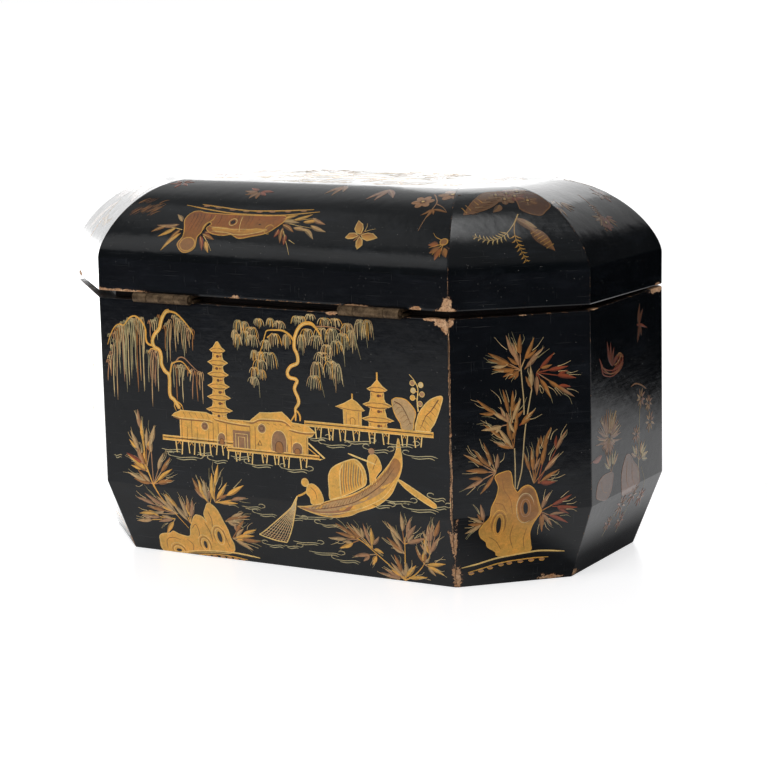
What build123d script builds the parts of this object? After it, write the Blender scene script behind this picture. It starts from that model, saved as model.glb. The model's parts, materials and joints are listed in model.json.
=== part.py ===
from build123d import *
import math
import os

# Lacquered wooden box with eight sides, a slanted foot and a hinged domed lid.
# Millimetres. +Z is up, the back with the hinges is at +Y, the front with the lock at -Y.
# The origin is the middle of the underside.

# Body
body_length = 302.0
body_depth = 186.0
corner_cut = 50.0
body_height = 134.0
wall_thickness = 9.0
skirt_height = 38.0
skirt_slant = 14.0
bottom_thickness = 9.0

# Inner lip that the lid closes round
lip_thickness = 3.0
lip_seat = 10.0
lip_stand = 5.0
lip_clearance = 0.6

# Lid
lid_height = 53.0
rim_height = 16.0
shoulder_inset = 53.0
shoulder_low_pull = 0.27
shoulder_top_pull = 0.62
top_board_thickness = 9.0
rest_clearance = 0.3

# Butt hinges: the lid leaf has the two outer knuckles, the body leaf the long middle one
hinge_spacing = 120.2
hinge_length = 33.4
middle_knuckle = 16.6
knuckle_gap = 0.3
barrel_radius = 2.5
barrel_clearance = 0.2
pin_radius = 1.0
pin_running_fit = 0.05
pin_stand_out = 0.5
leaf_width = 8.2
leaf_thickness = 1.4
hinge_gap = 4.0
hinge_screw_spacing = 11.5
leaf_screw_setback = 4.4

# Countersunk screws
screw_radius = 0.75
screw_head_radius = 1.5
screw_head_height = 0.8
screw_length = 8.0
screw_sink = 0.05
screw_fit = 0.03

# Lock in the front wall
lock_width = 46.0
lock_height = 24.0
lock_depth = 7.0
lock_sheet = 0.8
lock_fit = 0.1
selvage_length = 54.0
selvage_thickness = 1.4
selvage_screw_spacing = 50.0
staple_slot_length = 3.4
staple_slot_width = 5.4
key_pin_radius = 1.0
keyhole_drop = 20.0
keyhole_radius = 2.0
keyhole_slot_width = 2.0
keyhole_slot_length = 6.0
keyhole_wood_margin = 0.5
key_pin_clearance = 0.3

# Bolt, shown drawn back, with its travel to the locked place
bolt_travel = 5.0
bolt_side_clearance = 0.4
bolt_bar_height = 4.0
bolt_bar_left = 18.0
bolt_bar_right = 12.0
bolt_post_width = 7.6
bolt_nose_gap = 0.5
bolt_nose_length = 4.9
bolt_nose_height = 3.2
bolt_nose_thickness = 1.8
bolt_post_top = 1.0
bolt_staple_gap = 1.8
bolt_guide_gap = 0.25
bolt_guide_width = 6.0
bolt_guide_height = 2.2
bolt_guide_spacing = 26.0
talon_width = 6.0
talon_depth = 1.4

# Staple plate in the lid
staple_plate_length = 28.0
staple_plate_width = 6.0
staple_plate_thickness = 1.2
staple_thickness = 2.0
staple_width = 4.0
staple_drop = 9.6
staple_hole_drop = 6.7
staple_hole_height = 4.2
staple_hole_width = 2.4
staple_screw_spacing = 20.0

# Keyhole plate on the front face
plate_width = 15.0
plate_height = 24.0
plate_thickness = 0.8
plate_pin_spacing = 18.0
plate_pin_radius = 0.5
plate_pin_length = 1.8
plate_pin_head_radius = 0.9
plate_pin_head_height = 0.4

# How far a cutting shape runs past the faces it cuts
cut_past = 1.0

side_names = ["back", "back_left", "left", "front_left", "front", "front_right", "right", "back_right"]
side_count = len(side_names)
mitre_run = math.tan(math.pi / side_count)
lid_wall = wall_thickness - lip_clearance
half_depth = body_depth / 2
hinge_y = half_depth + barrel_radius + barrel_clearance
hinge_z = body_height + hinge_gap / 2
lid_base = body_height + hinge_gap
lid_reach = hinge_y + half_depth
lid_tilt = math.degrees(math.asin((hinge_gap - rest_clearance) / lid_reach))


def plan_corners(inset):
    """The eight plan corners at an inset from the body's outer face, anticlockwise from the back right."""
    straight_x = body_length / 2 - corner_cut - mitre_run * inset
    straight_y = body_depth / 2 - corner_cut - mitre_run * inset
    end_x = body_length / 2 - inset
    end_y = body_depth / 2 - inset
    return [
        (straight_x, end_y),
        (-straight_x, end_y),
        (-end_x, straight_y),
        (-end_x, -straight_y),
        (-straight_x, -end_y),
        (straight_x, -end_y),
        (end_x, -straight_y),
        (end_x, straight_y),
    ]


def side_strip(side, outer, inner):
    """Plan of one side between two insets, with mitred ends."""
    far = plan_corners(outer)
    near = plan_corners(inner)
    after = (side + 1) % side_count
    return [far[side], far[after], near[after], near[side]]


def at_height(points, z):
    return [(x, y, z) for x, y in points]


def frustum(low, high):
    """Closed solid between two level polygons with the same number of corners."""
    count = len(low)
    faces = [Face(Wire.make_polygon(low)), Face(Wire.make_polygon(high))]
    for index in range(count):
        after = (index + 1) % count
        quad = [low[index], low[after], high[after], high[index]]
        faces.append(Face(Wire.make_polygon(quad)))
    return Solid(Shell(faces))


def straight_board(side, outer, inner, low_z, high_z):
    strip = side_strip(side, outer, inner)
    return frustum(at_height(strip, low_z), at_height(strip, high_z))


def block(x_span, y_span, z_span):
    """Box from its spans along each axis."""
    size = [span[1] - span[0] for span in (x_span, y_span, z_span)]
    middle = [(span[1] + span[0]) / 2 for span in (x_span, y_span, z_span)]
    return Pos(*middle) * Box(*size)


def x_rod(radius, x_low, x_high, y, z):
    return Pos((x_low + x_high) / 2, y, z) * Rot(0, 90, 0) * Cylinder(radius, x_high - x_low)


def y_rod(radius, x, y_low, y_high, z):
    return Pos(x, (y_low + y_high) / 2, z) * Rot(90, 0, 0) * Cylinder(radius, y_high - y_low)


def place_lid(piece):
    """A lid piece is built level and then lowered at the front until the lid rests."""
    return piece.rotate(Axis((0, hinge_y, hinge_z), (1, 0, 0)), lid_tilt)


def lid_height_at(y, level_z):
    """Height, with the lid at rest, of a lid point that is at (y, level_z) when the lid is level."""
    turn = math.radians(lid_tilt)
    return hinge_z + (y - hinge_y) * math.sin(turn) + (level_z - hinge_z) * math.cos(turn)


def screw(x, y, face_z, direction, extra=0.0):
    """Countersunk screw whose head lies at face_z; direction is -1 down or 1 up."""
    top = face_z + direction * screw_sink
    neck = top + direction * screw_head_height
    tip = top + direction * screw_length
    head = Cone(screw_head_radius + extra, screw_radius + extra, screw_head_height)
    if direction < 0:
        head = Rot(180, 0, 0) * head
    head = Pos(x, y, (top + neck) / 2) * head
    shank = Pos(x, y, (neck + tip) / 2) * Cylinder(screw_radius + extra, abs(tip - neck))
    return head + shank


def screw_bore(x, y, face_z, direction):
    """Space that a countersunk screw takes, open at the head's face."""
    opening = block(
        (x - screw_head_radius - screw_fit, x + screw_head_radius + screw_fit),
        (y - screw_head_radius - screw_fit, y + screw_head_radius + screw_fit),
        sorted((face_z - direction * screw_sink, face_z + direction * screw_sink)),
    )
    return screw(x, y, face_z, direction, screw_fit) + opening


# Hinge places

hinge_centres = [-hinge_spacing / 2, hinge_spacing / 2]
leaf_screw_y = half_depth - leaf_screw_setback
body_leaf_top = body_height + leaf_thickness
lid_leaf_bottom = lid_base - leaf_thickness


def hinge_screw_places():
    return [centre + step * hinge_screw_spacing for centre in hinge_centres for step in (-1, 0, 1)]


# Lock places, worked from the front wall's inner face and top edge

lock_inner_y = -half_depth + wall_thickness
lock_outer_y = lock_inner_y - lock_depth
lock_middle_y = (lock_inner_y + lock_outer_y) / 2
lock_top = body_height - selvage_thickness
lock_bottom = lock_top - lock_height
keyhole_z = body_height - keyhole_drop
staple_base_z = lid_height_at(lock_middle_y, lid_base)
nose_z = staple_base_z - staple_hole_drop
staple_tip_z = staple_base_z - staple_drop
bar_top = staple_tip_z - bolt_staple_gap
bar_bottom = bar_top - bolt_bar_height
post_right = -staple_thickness / 2 - bolt_nose_gap - bolt_nose_length
post_left = post_right - bolt_post_width


def keyhole(y_low, y_high, margin):
    """Round eye with a straight slot below it, cut through from y_low to y_high."""
    eye = y_rod(keyhole_radius + margin, 0, y_low, y_high, keyhole_z)
    half_slot = keyhole_slot_width / 2 + margin
    slot_bottom = keyhole_z - keyhole_slot_length - margin
    return eye + block((-half_slot, half_slot), (y_low, y_high), (slot_bottom, keyhole_z))


def lock_pocket():
    """Space for the lock in the front wall, open at the wall's inner face and top edge."""
    half_case = lock_width / 2 + lock_fit
    half_selvage = selvage_length / 2 + lock_fit
    y_span = (lock_outer_y - lock_fit, lock_inner_y + cut_past)
    case = block((-half_case, half_case), y_span, (lock_bottom - lock_fit, body_height + cut_past))
    selvage = block((-half_selvage, half_selvage), y_span, (lock_top, body_height + cut_past))
    return case + selvage


def lock_screw_places():
    return [-selvage_screw_spacing / 2, selvage_screw_spacing / 2]


def plate_pin_places():
    return [keyhole_z - plate_pin_spacing / 2, keyhole_z + plate_pin_spacing / 2]


def plate_pin(z, extra=0.0):
    """Round-headed pin that holds the keyhole plate to the front wall."""
    face_y = -half_depth - plate_thickness
    shank = y_rod(plate_pin_radius + extra, 0, face_y, face_y + plate_thickness + plate_pin_length, z)
    head = y_rod(plate_pin_head_radius, 0, face_y - plate_pin_head_height, face_y, z)
    if extra > 0:
        return shank
    return head + shank


# Body woodwork

def wall_board(side):
    board = straight_board(side, 0, wall_thickness, skirt_height, body_height)
    if side_names[side] == "back":
        for x in hinge_screw_places():
            board = board - screw_bore(x, leaf_screw_y, body_leaf_top, -1)
    if side_names[side] == "front":
        board = board - lock_pocket()
        board = board - keyhole(-half_depth - cut_past, lock_outer_y + cut_past, keyhole_wood_margin)
        for x in lock_screw_places():
            board = board - screw_bore(x, lock_middle_y, body_height, -1)
        for z in plate_pin_places():
            board = board - plate_pin(z, screw_fit)
    return board


def skirt_board(side):
    low = side_strip(side, skirt_slant, skirt_slant + wall_thickness)
    high = side_strip(side, 0, wall_thickness)
    return frustum(at_height(low, 0), at_height(high, skirt_height))


def bottom_board():
    slant_left = skirt_slant * (1 - bottom_thickness / skirt_height)
    low = plan_corners(skirt_slant + wall_thickness)
    high = plan_corners(slant_left + wall_thickness)
    return frustum(at_height(low, 0), at_height(high, bottom_thickness))


def lip_strip(side):
    low_z = body_height - lip_seat
    high_z = body_height + lip_stand
    strip = straight_board(side, wall_thickness, wall_thickness + lip_thickness, low_z, high_z)
    if side_names[side] == "front":
        half_space = selvage_length / 2 + lip_clearance
        space_z = (low_z - cut_past, high_z + cut_past)
        strip = strip - block((-half_space, half_space), (-half_depth, 0), space_z)
    return strip


# Lid woodwork

def rim_board(side):
    board = straight_board(side, 0, lid_wall, lid_base, lid_base + rim_height)
    if side_names[side] == "back":
        for x in hinge_screw_places():
            board = board - screw_bore(x, leaf_screw_y, lid_leaf_bottom, 1)
    if side_names[side] == "front":
        board = board - staple_recess()
        for x in staple_screw_places():
            board = board - screw_bore(x, lock_middle_y, lid_base, 1)
    return place_lid(board)


def shoulder_profile():
    """Section of a shoulder board: inset from the outer face against height above the lid's edge."""
    rise = lid_height - rim_height
    rim_edge = (0, rim_height)
    low_pull = (0, rim_height + shoulder_low_pull * rise)
    top_pull = (shoulder_inset * (1 - shoulder_top_pull), lid_height)
    top_edge = (shoulder_inset, lid_height)
    top_under = (shoulder_inset, lid_height - top_board_thickness)
    rim_inner = (lid_wall, rim_height)
    curve = Bezier(rim_edge, low_pull, top_pull, top_edge)
    straights = Polyline(top_edge, top_under, rim_inner, rim_edge)
    return make_face(curve + straights)


def shoulder_board(side):
    corners = plan_corners(0)
    start = Vector(*corners[side])
    end = Vector(*corners[(side + 1) % side_count])
    along = (end - start).normalized()
    inward = Vector(-along.Y, along.X, 0)
    middle = (start + end) * 0.5
    section_plane = Plane(origin=(middle.X, middle.Y, lid_base), x_dir=inward, z_dir=along)
    length = (end - start).length
    bar = extrude(section_plane * shoulder_profile(), amount=length / 2, both=True)
    wedge_plan = side_strip(side, -cut_past, shoulder_inset + cut_past)
    low_z = lid_base - cut_past
    high_z = lid_base + lid_height + cut_past
    wedge = frustum(at_height(wedge_plan, low_z), at_height(wedge_plan, high_z))
    return place_lid(bar & wedge)


def top_board():
    plan = plan_corners(shoulder_inset)
    high_z = lid_base + lid_height
    return place_lid(frustum(at_height(plan, high_z - top_board_thickness), at_height(plan, high_z)))


# Hinges

def knuckle_spans(centre):
    """Spans of the three knuckles along the hinge: outer, middle, outer."""
    half_length = hinge_length / 2
    half_middle = middle_knuckle / 2
    return [
        (centre - half_length, centre - half_middle - knuckle_gap / 2),
        (centre - half_middle + knuckle_gap / 2, centre + half_middle - knuckle_gap / 2),
        (centre + half_middle + knuckle_gap / 2, centre + half_length),
    ]


def hinge_leaf(centre, knuckles, plate_z, face_z, direction):
    """Leaf plate with its knuckles; face_z is the plate's open face, direction points into the wood."""
    half_length = hinge_length / 2
    plate_y = (half_depth - leaf_width, half_depth)
    leaf = block((centre - half_length, centre + half_length), plate_y, plate_z)
    for x_span in knuckles:
        leaf = leaf + block(x_span, (half_depth - leaf_width, hinge_y), plate_z)
        leaf = leaf + x_rod(barrel_radius, x_span[0], x_span[1], hinge_y, hinge_z)
    bore_radius = pin_radius + pin_running_fit
    bore_reach = half_length + cut_past
    leaf = leaf - x_rod(bore_radius, centre - bore_reach, centre + bore_reach, hinge_y, hinge_z)
    for step in (-1, 0, 1):
        leaf = leaf - screw_bore(centre + step * hinge_screw_spacing, leaf_screw_y, face_z, direction)
    return leaf


def body_leaf(centre):
    outer, middle, other = knuckle_spans(centre)
    return hinge_leaf(centre, [middle], (body_height, body_leaf_top), body_leaf_top, -1)


def lid_leaf(centre):
    outer, middle, other = knuckle_spans(centre)
    return place_lid(hinge_leaf(centre, [outer, other], (lid_leaf_bottom, lid_base), lid_leaf_bottom, 1))


def hinge_pin(centre):
    half_length = hinge_length / 2 + pin_stand_out
    pin = x_rod(pin_radius, centre - half_length, centre + half_length, hinge_y, hinge_z)
    return chamfer(pin.edges(), pin_stand_out / 2)


def body_hinge_screws():
    return [screw(x, leaf_screw_y, body_leaf_top, -1) for x in hinge_screw_places()]


def lid_hinge_screws():
    return [place_lid(screw(x, leaf_screw_y, lid_leaf_bottom, 1)) for x in hinge_screw_places()]


# Lock

def lock_case():
    half_width = lock_width / 2
    sheet_y = lock_inner_y - lock_sheet
    cap_y = lock_outer_y + lock_sheet
    z_span = (lock_bottom, lock_top)
    case = block((-half_width, half_width), (sheet_y, lock_inner_y), z_span)
    case = case + block((-half_width, half_width), (cap_y, sheet_y), (lock_bottom, lock_bottom + lock_sheet))
    for end in (-1, 1):
        x_span = sorted((end * half_width, end * (half_width - lock_sheet)))
        case = case + block(x_span, (cap_y, sheet_y), z_span)
    half_selvage = selvage_length / 2
    y_span = (lock_outer_y, lock_inner_y)
    case = case + block((-half_selvage, half_selvage), y_span, (lock_top, body_height))
    half_slot = staple_slot_length / 2
    slot_y = (lock_middle_y - staple_slot_width / 2, lock_middle_y + staple_slot_width / 2)
    case = case - block((-half_slot, half_slot), slot_y, (lock_top - cut_past, body_height + cut_past))
    for end in (-1, 1):
        middle = (bolt_bar_right - bolt_bar_left) / 2 + end * bolt_guide_spacing / 2
        x_span = (middle - bolt_guide_width / 2, middle + bolt_guide_width / 2)
        guide_top = bar_bottom - bolt_guide_gap
        guide_z = (guide_top - bolt_guide_height, guide_top)
        case = case + block(x_span, (cap_y + bolt_side_clearance, sheet_y), guide_z)
    case = case + y_rod(key_pin_radius, 0, cap_y + key_pin_clearance, sheet_y, keyhole_z)
    for x in lock_screw_places():
        case = case - screw_bore(x, lock_middle_y, body_height, -1)
    return case


def lock_cap():
    half_width = lock_width / 2
    y_span = (lock_outer_y, lock_outer_y + lock_sheet)
    cap = block((-half_width, half_width), y_span, (lock_bottom, lock_top))
    return cap - keyhole(lock_outer_y - cut_past, lock_outer_y + lock_sheet + cut_past, 0)


def lock_bolt():
    y_low = lock_outer_y + lock_sheet + bolt_side_clearance
    y_high = lock_inner_y - lock_sheet - bolt_side_clearance
    bar = block((-bolt_bar_left, bolt_bar_right), (y_low, y_high), (bar_bottom, bar_top))
    post_z = nose_z + bolt_nose_height / 2 + bolt_post_top
    post = block((post_left, post_right), (y_low, y_high), (bar_bottom, post_z))
    half_nose = bolt_nose_thickness / 2
    nose_y = (lock_middle_y - half_nose, lock_middle_y + half_nose)
    nose_span = (nose_z - bolt_nose_height / 2, nose_z + bolt_nose_height / 2)
    nose = block((post_left, post_right + bolt_nose_length), nose_y, nose_span)
    talon_y = (y_low - cut_past, y_high + cut_past)
    talon_z = (bar_bottom - cut_past, bar_bottom + talon_depth)
    talon = block((-talon_width / 2, talon_width / 2), talon_y, talon_z)
    return bar + post + nose - talon


def lock_screws():
    return [screw(x, lock_middle_y, body_height, -1) for x in lock_screw_places()]


def keyhole_plate():
    face = Ellipse(plate_width / 2, plate_height / 2)
    plate_plane = Plane(origin=(0, -half_depth, keyhole_z), x_dir=(1, 0, 0), z_dir=(0, -1, 0))
    plate = extrude(plate_plane * face, amount=plate_thickness)
    plate = plate - keyhole(-half_depth - plate_thickness - cut_past, cut_past - half_depth, 0)
    for z in plate_pin_places():
        plate = plate - plate_pin(z, screw_fit)
    return plate


def keyhole_plate_pins():
    return [plate_pin(z) for z in plate_pin_places()]


# Staple plate in the lid's front rim

def staple_screw_places():
    return [-staple_screw_spacing / 2, staple_screw_spacing / 2]


def staple_recess():
    half_length = staple_plate_length / 2 + lock_fit
    half_width = staple_plate_width / 2 + lock_fit
    y_span = (lock_middle_y - half_width, lock_middle_y + half_width)
    recess_z = (lid_base - cut_past, lid_base + staple_plate_thickness)
    return block((-half_length, half_length), y_span, recess_z)


def staple_plate():
    half_length = staple_plate_length / 2
    half_width = staple_plate_width / 2
    y_span = (lock_middle_y - half_width, lock_middle_y + half_width)
    plate = block((-half_length, half_length), y_span, (lid_base, lid_base + staple_plate_thickness))
    half_staple = staple_width / 2
    staple_y = (lock_middle_y - half_staple, lock_middle_y + half_staple)
    half_thickness = staple_thickness / 2
    plate = plate + block((-half_thickness, half_thickness), staple_y, (lid_base - staple_drop, lid_base))
    hole_z = lid_base - staple_hole_drop
    half_hole = staple_hole_width / 2
    hole_y = (lock_middle_y - half_hole, lock_middle_y + half_hole)
    hole_span = (hole_z - staple_hole_height / 2, hole_z + staple_hole_height / 2)
    plate = plate - block((-staple_thickness, staple_thickness), hole_y, hole_span)
    for x in staple_screw_places():
        plate = plate - screw_bore(x, lock_middle_y, lid_base, 1)
    return place_lid(plate)


def staple_plate_screws():
    return [place_lid(screw(x, lock_middle_y, lid_base, 1)) for x in staple_screw_places()]


# All the pieces by name

def build_pieces():
    pieces = {}
    for side, name in enumerate(side_names):
        pieces[name + "_wall"] = wall_board(side)
        pieces[name + "_skirt"] = skirt_board(side)
        pieces["lid_" + name + "_rim"] = rim_board(side)
        pieces["lid_" + name + "_shoulder"] = shoulder_board(side)
    pieces["bottom_board"] = bottom_board()
    pieces["lid_top_board"] = top_board()
    pieces["back_lip_strip"] = lip_strip(side_names.index("back"))
    pieces["left_lip_strip"] = lip_strip(side_names.index("left"))
    pieces["right_lip_strip"] = lip_strip(side_names.index("right"))
    pieces["front_lip_strips"] = lip_strip(side_names.index("front"))
    corner_sides = [side_names.index(name) for name in side_names if "_" in name]
    pieces["corner_lip_strips"] = [lip_strip(side) for side in corner_sides]
    for name, centre in zip(("left_hinge", "right_hinge"), hinge_centres):
        pieces[name + "_body_leaf"] = body_leaf(centre)
        pieces[name + "_lid_leaf"] = lid_leaf(centre)
        pieces[name + "_pin"] = hinge_pin(centre)
    pieces["body_hinge_screws"] = body_hinge_screws()
    pieces["lid_hinge_screws"] = lid_hinge_screws()
    pieces["lock_case"] = lock_case()
    pieces["lock_cap"] = lock_cap()
    pieces["lock_bolt"] = lock_bolt()
    pieces["lock_screws"] = lock_screws()
    pieces["keyhole_plate"] = keyhole_plate()
    pieces["keyhole_plate_pins"] = keyhole_plate_pins()
    pieces["staple_plate"] = staple_plate()
    pieces["staple_plate_screws"] = staple_plate_screws()
    return pieces


def solids_of(piece):
    if isinstance(piece, list):
        return [solid for member in piece for solid in member.solids()]
    return piece.solids()


os.makedirs("parts", exist_ok=True)
for piece_name, piece in build_pieces().items():
    solids = solids_of(piece)
    shape = solids[0] if len(solids) == 1 else Compound(solids)
    export_step(shape, "parts/" + piece_name + ".step")
print("hinge axis at y", round(hinge_y, 3), "z", round(hinge_z, 3), "lid tilt", round(lid_tilt, 3))
print("keyhole height", round(keyhole_z, 2), "bolt nose height", round(nose_z, 2))
print("bolt bar from", round(bar_bottom, 2), "to", round(bar_top, 2))
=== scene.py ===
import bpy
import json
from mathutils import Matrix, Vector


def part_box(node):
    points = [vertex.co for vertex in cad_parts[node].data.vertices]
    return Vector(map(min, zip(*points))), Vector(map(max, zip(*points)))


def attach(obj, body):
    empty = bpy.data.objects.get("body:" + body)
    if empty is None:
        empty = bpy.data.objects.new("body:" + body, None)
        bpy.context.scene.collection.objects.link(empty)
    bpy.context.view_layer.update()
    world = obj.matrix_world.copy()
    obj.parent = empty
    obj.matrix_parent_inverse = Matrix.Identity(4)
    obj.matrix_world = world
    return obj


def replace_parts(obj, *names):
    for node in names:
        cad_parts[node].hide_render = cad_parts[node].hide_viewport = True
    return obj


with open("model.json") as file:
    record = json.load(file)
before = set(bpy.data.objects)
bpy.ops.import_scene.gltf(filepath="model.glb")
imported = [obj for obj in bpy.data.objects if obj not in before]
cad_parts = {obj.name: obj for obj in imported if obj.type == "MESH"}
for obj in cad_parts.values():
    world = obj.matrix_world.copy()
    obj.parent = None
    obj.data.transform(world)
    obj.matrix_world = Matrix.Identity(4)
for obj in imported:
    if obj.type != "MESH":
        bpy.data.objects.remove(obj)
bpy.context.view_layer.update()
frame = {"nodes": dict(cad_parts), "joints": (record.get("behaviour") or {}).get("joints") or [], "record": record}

import copy
import json
import math
import random

import bpy
import bmesh
from mathutils import Matrix, Vector, noise

# Eight-sided lacquered box with painted gilt scenes, seen from behind and to the left.
# Lengths here are millimetres; MM turns them into Blender's metres where a mesh is made.
MM = 0.001


def node_box(name):
    low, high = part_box(name)
    return low / MM, high / MM


# Sizes taken from the frame
back_low, back_high = node_box("back_wall")
left_low, left_high = node_box("left_wall")
half_depth = back_high.y
half_length = -left_low.x
straight_x = back_high.x
straight_y = left_high.y
fold_z = back_low.z
wall_top = back_high.z
hinge_joint = [joint for joint in frame["joints"] if joint["name"] == "lid_hinge"][0]
hinge_y = hinge_joint["pos_m"][1] / MM
hinge_z = hinge_joint["pos_m"][2] / MM

# The rest of the construction
wall_thickness = 9.0
foot_inset = 14.0
hinge_gap = 4.0
rest_clearance = 0.3
lid_wall = 8.4
rim_height = 16.0
lid_height = 53.0
shoulder_inset = 53.0
shoulder_pulls = (0.27, 0.62)
top_board_thickness = 9.0
lid_base = wall_top + hinge_gap
lid_tilt = math.asin((hinge_gap - rest_clearance) / (hinge_y + half_depth))
arris_radius = 1.2

# Paint keeps clear of a face's ends and sides. On the lid it may run over the shoulder's upper edge.
end_margin = 0.3
side_margin = 0.4
top_overlap = 6.0
top_reach = 39.0

sides = ["back", "back_left", "left", "front_left", "front", "front_right", "right", "back_right"]
BACK, BACK_LEFT, LEFT, FRONT_LEFT, FRONT, FRONT_RIGHT, RIGHT, BACK_RIGHT = range(8)
mitre_run = math.tan(math.pi / 8)
foot_slope = math.hypot(fold_z, foot_inset)


def colour(red, green, blue):
    """A display colour of 0 to 255 as linear light."""
    parts = [part / 255 for part in (red, green, blue)]
    return tuple(part / 12.92 if part <= 0.04045 else ((part + 0.055) / 1.055) ** 2.4 for part in parts)


# Developed faces

def plan_corner(index, inset=0.0):
    sx = straight_x - mitre_run * inset
    sy = straight_y - mitre_run * inset
    ex = half_length - inset
    ey = half_depth - inset
    ring = [(sx, ey), (-sx, ey), (-ex, sy), (-ex, -sy), (-sx, -ey), (sx, -ey), (ex, -sy), (ex, sy)]
    return Vector(ring[index % 8])


def shoulder_curve():
    """Points of the lid's shoulder section: inset from the rim against height above the lid's edge."""
    rise = lid_height - rim_height
    pulls = [
        (0.0, rim_height),
        (0.0, rim_height + shoulder_pulls[0] * rise),
        (shoulder_inset * (1 - shoulder_pulls[1]), lid_height),
        (shoulder_inset, lid_height),
    ]
    steps = 120
    points = []
    for step in range(steps + 1):
        t = step / steps
        weights = ((1 - t) ** 3, 3 * t * (1 - t) ** 2, 3 * t * t * (1 - t), t ** 3)
        points.append(Vector((
            sum(w * p[0] for w, p in zip(weights, pulls)),
            sum(w * p[1] for w, p in zip(weights, pulls)),
        )))
    return points


shoulder_points = shoulder_curve()
shoulder_runs = [0.0]
for first, second in zip(shoulder_points, shoulder_points[1:]):
    shoulder_runs.append(shoulder_runs[-1] + (second - first).length)
shoulder_length = shoulder_runs[-1]
lid_edge_h = rim_height + shoulder_length


def shoulder_at(run):
    """Inset and height on the shoulder curve, and its direction, at a run along it."""
    for index in range(len(shoulder_runs) - 1):
        if run <= shoulder_runs[index + 1] or index == len(shoulder_runs) - 2:
            span = shoulder_runs[index + 1] - shoulder_runs[index]
            share = (run - shoulder_runs[index]) / span
            step = shoulder_points[index + 1] - shoulder_points[index]
            return shoulder_points[index] + step * share, step.normalized()


def tip_lid(point):
    """A level lid point, lowered at the front until the lid rests."""
    y, z = point.y - hinge_y, point.z - hinge_z
    c, s = math.cos(lid_tilt), math.sin(lid_tilt)
    return Vector((point.x, hinge_y + y * c - z * s, hinge_z + y * s + z * c))


class Face:
    """A side unfolded flat: u runs left to right seen from outside, h runs up the surface.

    On the body h is 0 at the fold above the foot, on the lid h is 0 at the rim's lower edge.
    """

    def __init__(self, side, part):
        self.side = side
        self.part = part
        start, end = plan_corner(side), plan_corner(side + 1)
        self.along = (end - start).normalized()
        self.inward = Vector((-self.along.y, self.along.x))
        self.middle = (start + end) / 2
        self.half = (end - start).length / 2
        if part == "body":
            self.span = (end_margin - foot_slope, wall_top - fold_z - end_margin)
        else:
            self.span = (end_margin, lid_edge_h + top_overlap)

    def profile(self, h):
        """Inset, height and surface direction at h."""
        if self.part == "body":
            if h >= 0:
                return 0.0, fold_z + h, Vector((0.0, 1.0))
            direction = Vector((-foot_inset, fold_z)) / foot_slope
            return direction.x * h, fold_z + direction.y * h, direction
        if h <= rim_height:
            return 0.0, lid_base + h, Vector((0.0, 1.0))
        if h >= lid_edge_h:
            return shoulder_inset + h - lid_edge_h, lid_base + lid_height, Vector((1.0, 0.0))
        place, direction = shoulder_at(h - rim_height)
        return place.x, lid_base + place.y, direction

    def at(self, u, h, lift=0.0):
        """Place in metres of a point of the face, raised by lift."""
        inset, z, direction = self.profile(h)
        inset -= lift * direction.y
        z += lift * direction.x
        plan = self.middle + self.along * u + self.inward * inset
        point = Vector((plan.x, plan.y, z))
        if self.part == "lid":
            point = tip_lid(point)
        return point * MM

    def half_width(self, h):
        return self.half - mitre_run * self.profile(h)[0]


class TopFace:
    """The lid's flat top seen from above, with x to the left of the box and h to the front."""
    side = -1
    part = "lid"
    span = (-top_reach, top_reach)

    def at(self, u, h, lift=0.0):
        return tip_lid(Vector((-u, -h, lid_base + lid_height + lift))) * MM

    def half_width(self, h):
        corner = plan_corner(RIGHT, shoulder_inset)
        return corner.x + min(0.0, abs(corner.y) - abs(h))


def new_object(name, data):
    item = bpy.data.objects.new(name, data)
    bpy.context.scene.collection.objects.link(item)
    return item


def new_piece(name, mesh, body, materials):
    piece = new_object(name, mesh)
    for material in materials:
        mesh.materials.append(material)
    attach(piece, body)
    return piece


# Materials

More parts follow.
